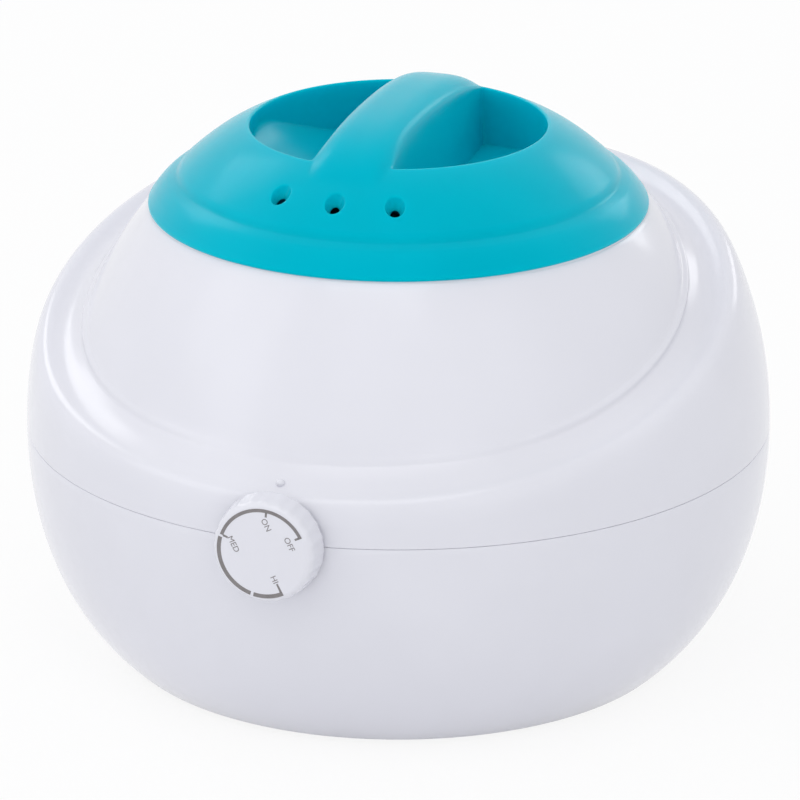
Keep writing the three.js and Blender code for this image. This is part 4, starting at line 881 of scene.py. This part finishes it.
DOME_GRID = 1.4
BAR_GRID_X, BAR_GRID_Y = 0.7, 0.84
BAR_GRID_HALF_WIDTH, BAR_GRID_HALF_LENGTH = 14, 58.8
EDGE_RADIUS = 69.4
spread = []
for radius in np.arange(DOME_GRID, 70, DOME_GRID):
    count = int(2 * pi * radius / DOME_GRID)
    spread += on_circle(radius, full_turn(count))
spread = [(x, y) for x, y in spread
          if abs(x) > BAR_GRID_HALF_WIDTH + 0.5 or abs(y) > BAR_GRID_HALF_LENGTH + 0.2]
spread_bar = [(x, y) for x in np.arange(-BAR_GRID_HALF_WIDTH, BAR_GRID_HALF_WIDTH + 0.1, BAR_GRID_X)
              for y in np.arange(-BAR_GRID_HALF_LENGTH, BAR_GRID_HALF_LENGTH + 0.1, BAR_GRID_Y)]
edge_ring = circle(EDGE_RADIUS, float(on_curve(dome_curve, EDGE_RADIUS, 0)))
top_holes = [top_loops[0], top_loops[0] * MIRROR]
top_holes += [vent_wall(place)[0] for place in vent_places]
top_sheet = filled(edge_ring, top_holes, lid_top, spread + spread_bar)

under_ring = circle(float(inner_curve[0, 0]), float(inner_curve[0, 1]))
under_holes = [under_loops[0], under_loops[0] * MIRROR]
under_holes += [vent_wall(place)[-1] for place in vent_places]
under_sheet = filled(under_ring, under_holes, lid_under, spread[::2])

# %% Rim, skirt and the finished lid
LID_BASE = 149.5
band = bezier([(71.2, 159.1), (75.9, 157.0), (79.8, 150.8)], np.linspace(0, 1, 13)[:, None])
crease = rounded([(EDGE_RADIUS, edge_ring[0, 2], 0), (70.8, 159.15, 0.9), (*band[3], 0)])[:-1]
lip = rounded([(*band[-2], 0), (80.05, 150.6, 0.7), (79.9, LID_BASE, 0.7), (75.1, LID_BASE, 0.3),
               (75.1, 146.3, 0.5), (73.1, 146.3, 0.5), (73.1, 151.5, 1.5), (*inner_curve[0], 0)])
rim_outline = np.concatenate([crease, band[3:-2], lip])
rim_outline[:, 0] = np.minimum(rim_outline[:, 0], 80)
patches = [top_sheet, under_sheet, turned(rim_outline, TURNS)]
for loops in (top_loops, under_loops):
    patches += [strip(loops), strip(loops * MIRROR)]
patches += [strip(vent_wall(place)) for place in vent_places]
lid_shell = closed_mesh("lid_shell", patches, sharp=40)
dress(lid_shell, teal_abs, "lid", "teal_plastic", "lid")

# %% [markdown]
# ## Heat control
# The knob is a flat disc with a slightly tapered skirt and 24 shallow grips. It is swept like the
# housing, with the grips as a ripple on its skirt, and then turned to face the front.

# %% Knob
KNOB_FACE, KNOB_RADIUS = 9.55, 17
GRIPS, RIPPLE = 24, 0.22


def to_front(patch):
    """From the knob's own axis, pointing outwards, to its place on the front."""
    points, faces = patch
    x, y, z = np.asarray(points).T
    return np.stack([x, -z - BODY_RADIUS, y + PARTING_Z], -1), faces


knob_outline = rounded([
    (0, KNOB_FACE, 0), (14.9, KNOB_FACE, 0.9), (16.3, 8.3, 1.3), (KNOB_RADIUS, 0.6, 0.4),
    (15.2, 0.6, 0.3), (14.5, 7.8, 0.5), (5.5, 7.8, 0.5), (5.5, 0.6, 0.3), (3.35, 0.6, 0.2),
    (3.35, 6.6, 0), (0, 6.6, 0)])
knob_profile = np.tile(knob_outline, everywhere)
ripple = RIPPLE * (1 - np.cos(GRIPS * angles)) / 2
strength = np.interp(knob_outline[:, 0], (15.4, 16.2), (0, 1))
strength[np.argmin(np.abs(knob_outline[:, 0] - KNOB_RADIUS)) + 4:] = 0
knob_profile[:, :, 0] -= ripple[:, None] * strength
knob = closed_mesh("heat_control", [to_front(swept(knob_profile))], sharp=40)
dress(knob, white_abs, "control", "white_plastic", "knob")

# %% [markdown]
# ### Dial print
# The dial carries three curved bands and four ticks. All seven are the same kind of mark, a strip
# between two radii and two angles, so one Geometry Nodes tree prints them all: it bends a grid into
# the strip, lifts a copy by the ink's thickness and closes the edge. Angles run clockwise from the
# OFF mark, and the whole print is turned 62 degrees, as the knob stands in the picture.

# %% A tree for one printed mark
mark_tree, given = tree_with(
    "printed_mark", Float=["Inner Radius", "Outer Radius", "From", "To", "Ink"], Int=["Steps"],
    Material=["Material"])
sheet, grid_x, grid_y = flat_grid(mark_tree, given["Steps"], 2)
mark_angle, mark_radius = [
    add(mark_tree, "MapRange", {
        "Value": value, "From Min": -0.5, "From Max": 0.5,
        "To Min": given[low], "To Max": given[high]})
    for value, low, high in ((grid_x, "From", "To"), (grid_y, "Inner Radius", "Outer Radius"))]
across, upright = [
    tree_math(mark_tree, "MULTIPLY", mark_radius, tree_math(mark_tree, part, mark_angle))
    for part in ("SINE", "COSINE")]
bent = add(mark_tree, "GeometryNodeSetPosition", {
    "Geometry": sheet, "Position": xyz(mark_tree, across, upright)})
lifted = add(mark_tree, "GeometryNodeExtrudeMesh", {
    "Mesh": bent, "Offset": (0, 0, 1), "Offset Scale": given["Ink"], "Individual": False})
closed = new_node(mark_tree, "GeometryNodeJoinGeometry")
for source in (lifted, bent):
    mark_tree.links.new(source, closed.inputs[0])
close_tree(mark_tree, welded(mark_tree, closed.outputs[0]), given["Material"])

# %% Print the marks and the words
# A mark is (inner radius, outer radius, from, to), a word is (angle, radius).
REST_TURN = 62
INK = 0.03
FONT_SIZE = 2.7
MARKS = {
    "off_to_medium": (13.3, 14.4, -133.0, 1.6), "medium_to_gap": (13.4, 14.7, -226.2, -136.2),
    "gap_to_high": (13.4, 14.7, -270, -230), "off_tick": (12.0, 13.4, -1.4, 1.6),
    "on_tick": (11.9, 13.4, -57.5, -54.5), "medium_tick": (11.8, 13.4, -134.6, -131.5),
    "high_tick": (10.6, 13.5, -270, -266.8)}
WORDS = {"OFF": (4, 9.6), "ON": (-54, 9.4), "MED": (-141, 9.5), "HI": (-267, 9.1)}


def word_mesh(word, clockwise, radius):
    """A word cut from the built-in font, as a thin film of ink."""
    letters = bpy.data.curves.new(word, "FONT")
    letters.body = word
    letters.size = FONT_SIZE * MM
    letters.align_x, letters.align_y = "CENTER", "CENTER"
    letters.extrude = INK / 2 * MM
    mesh = evaluated(linked(letters))
    at = radians(clockwise + REST_TURN)
    place = (radius * MM * sin(at), radius * MM * cos(at), INK / 2 * MM)
    upright = Matrix.Rotation(-radians(REST_TURN), 4, "Z")
    mesh.transform(Matrix.Translation(place) @ upright)
    return mesh


prints = []
for label, (inner, outer, start_angle, end_angle) in MARKS.items():
    steps = max(4, int(abs(end_angle - start_angle) / 2))
    prints.append(grown(label, mark_tree, {
        "Inner Radius": inner * MM, "Outer Radius": outer * MM, "Steps": steps, "Ink": INK * MM,
        "From": radians(start_angle + REST_TURN), "To": radians(end_angle + REST_TURN),
        "Material": taupe_ink}))
prints += [word_mesh(word, *place) for word, place in WORDS.items()]
on_face = (0, 0, KNOB_FACE + 0.005)
dial_print = closed_mesh("dial_print", [to_front(patch_of(mesh, on_face)) for mesh in prints])
dress(dial_print, taupe_ink, "control", "white_plastic")

# %% [markdown]
# ## Wax pot and heating well
# Both cups are turned from outlines. The pot has a rolled rim that rests on the well's flange and
# two upright grip tabs with slots, bent up from the rim, to lift it by.

# %% Pot
FLANGE_TOP = 145.3
POT_RIM_Z = 145.6
pot_outline = rounded([
    (0, 50.9, 0), (62.0, 50.9, 7), (64.5, 141.0, 0), (64.5, 143.6, 1.2), (65.6, POT_RIM_Z, 1),
    (69.0, POT_RIM_Z, 0.9), (69.9, 146.6, 0.9), (69.9, 147.6, 0.9), (69.0, 148.4, 0.8),
    (67.7, 147.9, 0.8), (65.6, 146.7, 1), (63.5, 144.6, 1), (63.4, 141.0, 0), (61.0, 51.9, 6.5),
    (0, 51.9, 0)], steps=7)
pot_patches = [turned(pot_outline, 192)]


def tab_loop(width, height, corner, middle, steps=7):
    """A rectangle with round corners, as (x, z) points."""
    corners = [(-width / 2, middle - height / 2), (width / 2, middle - height / 2),
               (width / 2, middle + height / 2), (-width / 2, middle + height / 2)]
    loop = []
    for k, (x, z) in enumerate(corners):
        cx, cz = x - copysign(corner, x), z - copysign(corner, z - middle)
        for t in np.linspace(0, pi / 2, steps):
            angle = t + (k + 2) * pi / 2
            loop.append((cx + corner * cos(angle), cz + corner * sin(angle)))
    return np.array(loop)


outer_loop = tab_loop(21, 9.6, 3.2, 4.2)
slot_loop = tab_loop(9, 3.6, 1.79, 5.3)
TAB_RADIUS, TAB_Z = 66.0, 146.1
for x in (-TAB_RADIUS, TAB_RADIUS):
    rows = []
    for loop, out in ((slot_loop, -0.8), (outer_loop, -0.62), (outer_loop, 0.62), (slot_loop, 0.8)):
        rows.append(np.column_stack([np.full(len(loop), x + out), loop[:, 0], loop[:, 1] + TAB_Z]))
    pot_patches.append(strip(rows, closed=True))
pot = closed_mesh("pot", pot_patches, sharp=30)
dress(pot, spun_aluminium, "pot", "aluminium_sheet", "wax_pot")

# %% Well, with countersinks for its screws
well_outline = rounded([
    (0, 48.3, 0), (68, 48.3, 5), (68, 143.8, 1.2), (75.2, 143.8, 0.3), (75.2, FLANGE_TOP, 0.3),
    (66.9, FLANGE_TOP, 1.6), (66.5, 140, 0), (66.5, 50.3, 4.2), (0, 50.3, 0)], steps=6)
well = closed_mesh("well", [turned(well_outline, 192)])
SCREW_CIRCLE = 72.6
sink_points, sink_faces = turned([(0, 142), (1.95, 142), (1.95, 144), (2.55, FLANGE_TOP),
                                  (2.55, 147), (0, 147)], 40)
sinks = [(sink_points + (x, y, 0), sink_faces)
         for x, y in on_circle(SCREW_CIRCLE, (np.arange(4) * 2 + 0.5) * pi / 4)]
well = tidy(combined(well, "DIFFERENCE", closed_mesh("sinks", sinks)))
dress(well, spun_aluminium, "housing", "aluminium_sheet", "heating_well")

# %% [markdown]
# ## Copies in a ring
# Feet and well screws repeat round the axis. One Geometry Nodes tree places copies of a piece on a
# circle and can turn each copy by a random angle from a fixed seed, because no two driven screws
# stop at the same angle.

# %% A tree for a ring of copies
ring_tree, given = tree_with(
    "ring_of_copies", Object=["Piece"], Int=["Count"], Material=["Material"],
    Float=["Radius", "First Angle", "Axis Y", "Height", "Random Turn"])
places = add(ring_tree, "GeometryNodeMeshCircle", {
    "Vertices": given["Count"], "Radius": given["Radius"]})
turned_ring = add(ring_tree, "GeometryNodeTransform", {
    "Geometry": places, "Translation": xyz(ring_tree, y=given["Axis Y"], z=given["Height"]),
    "Rotation": xyz(ring_tree, z=given["First Angle"])})
chance = new_node(ring_tree, "FunctionNodeRandomValue", {"Seed": 7}, data_type="FLOAT")
ring_tree.links.new(given["Random Turn"], chance.inputs[3])
source = new_node(ring_tree, "GeometryNodeObjectInfo", {"Object": given["Piece"]})
copies = add(ring_tree, "GeometryNodeInstanceOnPoints", {
    "Points": turned_ring, "Instance": source.outputs["Geometry"],
    "Rotation": xyz(ring_tree, z=chance.outputs[1])})
close_tree(ring_tree, copies, given["Material"])


def ring_of(name, single_mesh, count, radius, first_angle, height, random_turn, material):
    pattern = linked(single_mesh)
    mesh = grown(name, ring_tree, {
        "Piece": pattern, "Count": count, "Radius": radius * MM, "First Angle": first_angle,
        "Axis Y": AXIS_Y * MM, "Height": height * MM, "Random Turn": random_turn,
        "Material": material})
    bpy.data.objects.remove(pattern)
    return tidy(mesh, 30)


def single(name, patches):
    """A pattern piece centred on the origin."""
    mesh = closed_mesh(name, patches)
    mesh.transform(Matrix.Translation((0, -AXIS_Y * MM, 0)))
    return mesh


# %% Feet and well screws
foot_outline = rounded([
    (0, 0.35, 0), (3.2, 0.35, 0.2), (3.8, 0, 0.2), (7.0, 0, 0.7), (8, 1.0, 0.6), (7.6, 2.7, 0.2),
    (2.2, 2.7, 0.1), (2.2, 6.6, 0.2), (0, 6.6, 0)])
FOOT_CIRCLE = 66
foot = single("foot", [turned(foot_outline, 64)])
feet = ring_of("feet", foot, 4, FOOT_CIRCLE, pi / 4, 0, 0.0, grey_rubber)
dress(feet, grey_rubber, "housing", "grey_rubber", *[f"foot_{k}" for k in (1, 2, 3, 4)])

screw_outline = rounded([(0, -11, 0), (1.5, -10, 0.3), (1.5, -1.5, 0.2), (2.35, -0.35, 0.1),
                         (2.35, -0.12, 0.1), (1.4, 0, 0.4), (0, 0, 0)])
screw = single("screw", [turned(screw_outline, 40)])
SLOT_WIDTH, SLOT_LENGTH, SLOT_DEPTH = 0.62, 2.9, 0.8
for width, length in ((SLOT_WIDTH, SLOT_LENGTH), (SLOT_LENGTH, SLOT_WIDTH)):
    box = bmesh.new()
    bmesh.ops.create_cube(box, size=1)
    bmesh.ops.scale(box, vec=(width * MM, length * MM, 2 * SLOT_DEPTH * MM), verts=box.verts)
    cross = bpy.data.meshes.new("cross")
    box.to_mesh(cross)
    box.free()
    screw = combined(screw, "DIFFERENCE", cross)
well_screws = ring_of("well_screws", screw, 4, SCREW_CIRCLE, -3 * pi / 8, FLANGE_TOP, 6.28,
                      zinc_steel)
dress(well_screws, zinc_steel, "housing", "plated_steel",
      *[f"well_screw_{k}" for k in (1, 2, 3, 4)])

# %% [markdown]
# ## Inlet bush
# The back wall has a round nylon bush where the supply cord goes in. The picture shows no cord, so
# the bush is left open, with a rounded mouth and a stepped flange.

# %% Bush
bush_outline = rounded([
    (3.6, gland_back - 2.7, 0.6), (8, gland_back - 2.7, 0.6), (8, gland_back - 0.3, 0.2),
    (5.7, gland_back - 0.3, 0.2), (5.7, gland_face + 0.3, 0.2), (9, gland_face + 0.3, 0.3),
    (9, gland_face + 1.5, 0.5), (7.4, gland_face + 1.7, 0.3), (7.0, gland_face + 2.7, 0.4),
    (4.6, gland_face + 2.7, 0.7), (3.6, gland_face + 1.8, 0.5), (3.6, gland_back - 2.7, 0)])
bush = closed_mesh("cord_gland", [laid_down(turned(bush_outline, 64), 1, GLAND_Z)])
dress(bush, black_nylon, "housing", "black_plastic", "cable_gland")

# %% [markdown]
# ## Inner pieces
# Heater, insulation, thermostat, screws and terminal block keep their CAD meshes, because they stay
# out of sight in the housing. Each one gets the finish of its material slot.

# %% Finishes for the carried-over nodes
FINISHES = {
    "white_plastic": white_abs, "teal_plastic": teal_abs, "aluminium_sheet": drawn_aluminium,
    "plated_steel": zinc_steel, "black_plastic": black_nylon, "glazed_ceramic": glazed_ceramic,
    "mica_band": mica_band, "glass_fibre": fibre_felt, "grey_rubber": grey_rubber,
    "red_silicone": red_silicone}
for row in frame["record"]["subparts"]:
    node = frame["nodes"][row["node"]]
    if not node.hide_render:
        paint(node.data, FINISHES[row["material_slot"]])

# %% [markdown]
# ## Floor and studio light
# The picture has no visible horizon: floor and background are plain white. The floor shows rays
# from the camera mostly plain white and keeps a little of its own lit surface, so a soft contact
# shadow stays. The sky is white as well where it is seen, and lights the object at a plain level
# that is a little higher in front than behind.

# %% Floor
FLOOR_SHARE = 0.88


def seen_rays(tree):
    """One for rays that show a thing as it is, nought for those that only light others."""
    ray = new_node(tree, "LightPath").outputs
    seen = tree_math(tree, "ADD", ray["Is Camera Ray"], ray["Is Glossy Ray"])
    return tree_math(tree, "ADD", seen, ray["Is Transmission Ray"])


bpy.ops.mesh.primitive_plane_add(size=12, location=(0, 0, 0))
floor_plane = bpy.context.object
floor_plane.name = "floor"
paper = bpy.data.materials.new("white_studio_paper")
tree = fresh_tree(paper)
fibres = noise(tree, new_node(tree, "TexCoord").outputs["Object"], 0.02, 3)
lit = add(tree, "BsdfDiffuse", {"Color": mixed(tree, fibres, "#F6F6F7", "#F2F2F3")})
plain = add(tree, "Emission", {"Color": (1, 1, 1, 1), "Strength": 1.0})
share = add(tree, "Math", {0: seen_rays(tree), 1: FLOOR_SHARE},
            operation="MULTIPLY", use_clamp=True)
blend = add(tree, "MixShader", {0: share, 1: lit, 2: plain})
new_node(tree, "OutputMaterial", {"Surface": blend})
floor_plane.data.materials.append(paper)

# %% World and lamps
SKY_LEVEL, SKY_TILT = 0.77, 0.14
world = bpy.data.worlds.new("studio")
bpy.context.scene.world = world
tree = fresh_tree(world)
backdrop = add(tree, "Background", {"Color": (1, 1, 1, 1), "Strength": 1.0})
heading = new_node(tree, "TexCoord").outputs["Generated"]
direction = new_node(tree, "SeparateXYZ", {0: heading})
towards_back = tree_math(tree, "MULTIPLY", direction.outputs[1], SKY_TILT)
level = tree_math(tree, "SUBTRACT", SKY_LEVEL, towards_back)
soft = add(tree, "Background", {"Color": (0.98, 0.99, 1, 1), "Strength": level})
sky = add(tree, "MixShader", {0: seen_rays(tree), 1: soft, 2: backdrop})
new_node(tree, "OutputWorld", {"Surface": sky})

LAMPS_AIM = Vector((0, 0, 0.1))


def soft_box(name, place, size, power):
    """A square area lamp; place and size in metres, power in watts."""
    lamp = bpy.data.lights.new(name, "AREA")
    lamp.size = size
    lamp.energy = power
    made = linked(lamp)
    made.location = place
    made.rotation_euler = (LAMPS_AIM - Vector(place)).to_track_quat("-Z", "Y").to_euler()


soft_box("key_left", (-1.5, -1.1, 1.5), 1.4, 4)
soft_box("fill_right", (1.6, -1.4, 1.0), 1.6, 2)
soft_box("edge_left", (-1.38, 0.72, 1.36), 0.7, 3.2)
soft_box("edge_right", (0.66, 1.7, 0.92), 0.6, 2.2)
soft_box("front_top", (0.1, -0.9, 1.8), 1.2, 5)

# %% [markdown]
# ## Camera
# The picture was taken a little from the right and from above, with a long lens, so that the round
# body hardly narrows with distance.

# %% Camera
azimuth, elevation, distance = radians(18.7), radians(20), 1.94
target = Vector((0, AXIS_Y * MM, 0.082))
away = Vector((sin(azimuth) * cos(elevation), -cos(azimuth) * cos(elevation), sin(elevation)))
camera = linked(bpy.data.cameras.new("camera"))
camera.location = target + away * distance
camera.rotation_euler = (-away).to_track_quat("-Z", "Y").to_euler()
camera.data.lens = 269.9
camera.data.sensor_width = 36
camera.data.shift_x = 0.0019
camera.data.clip_end = 50
bpy.context.scene.camera = camera
bpy.context.scene.view_settings.view_transform = "Standard"
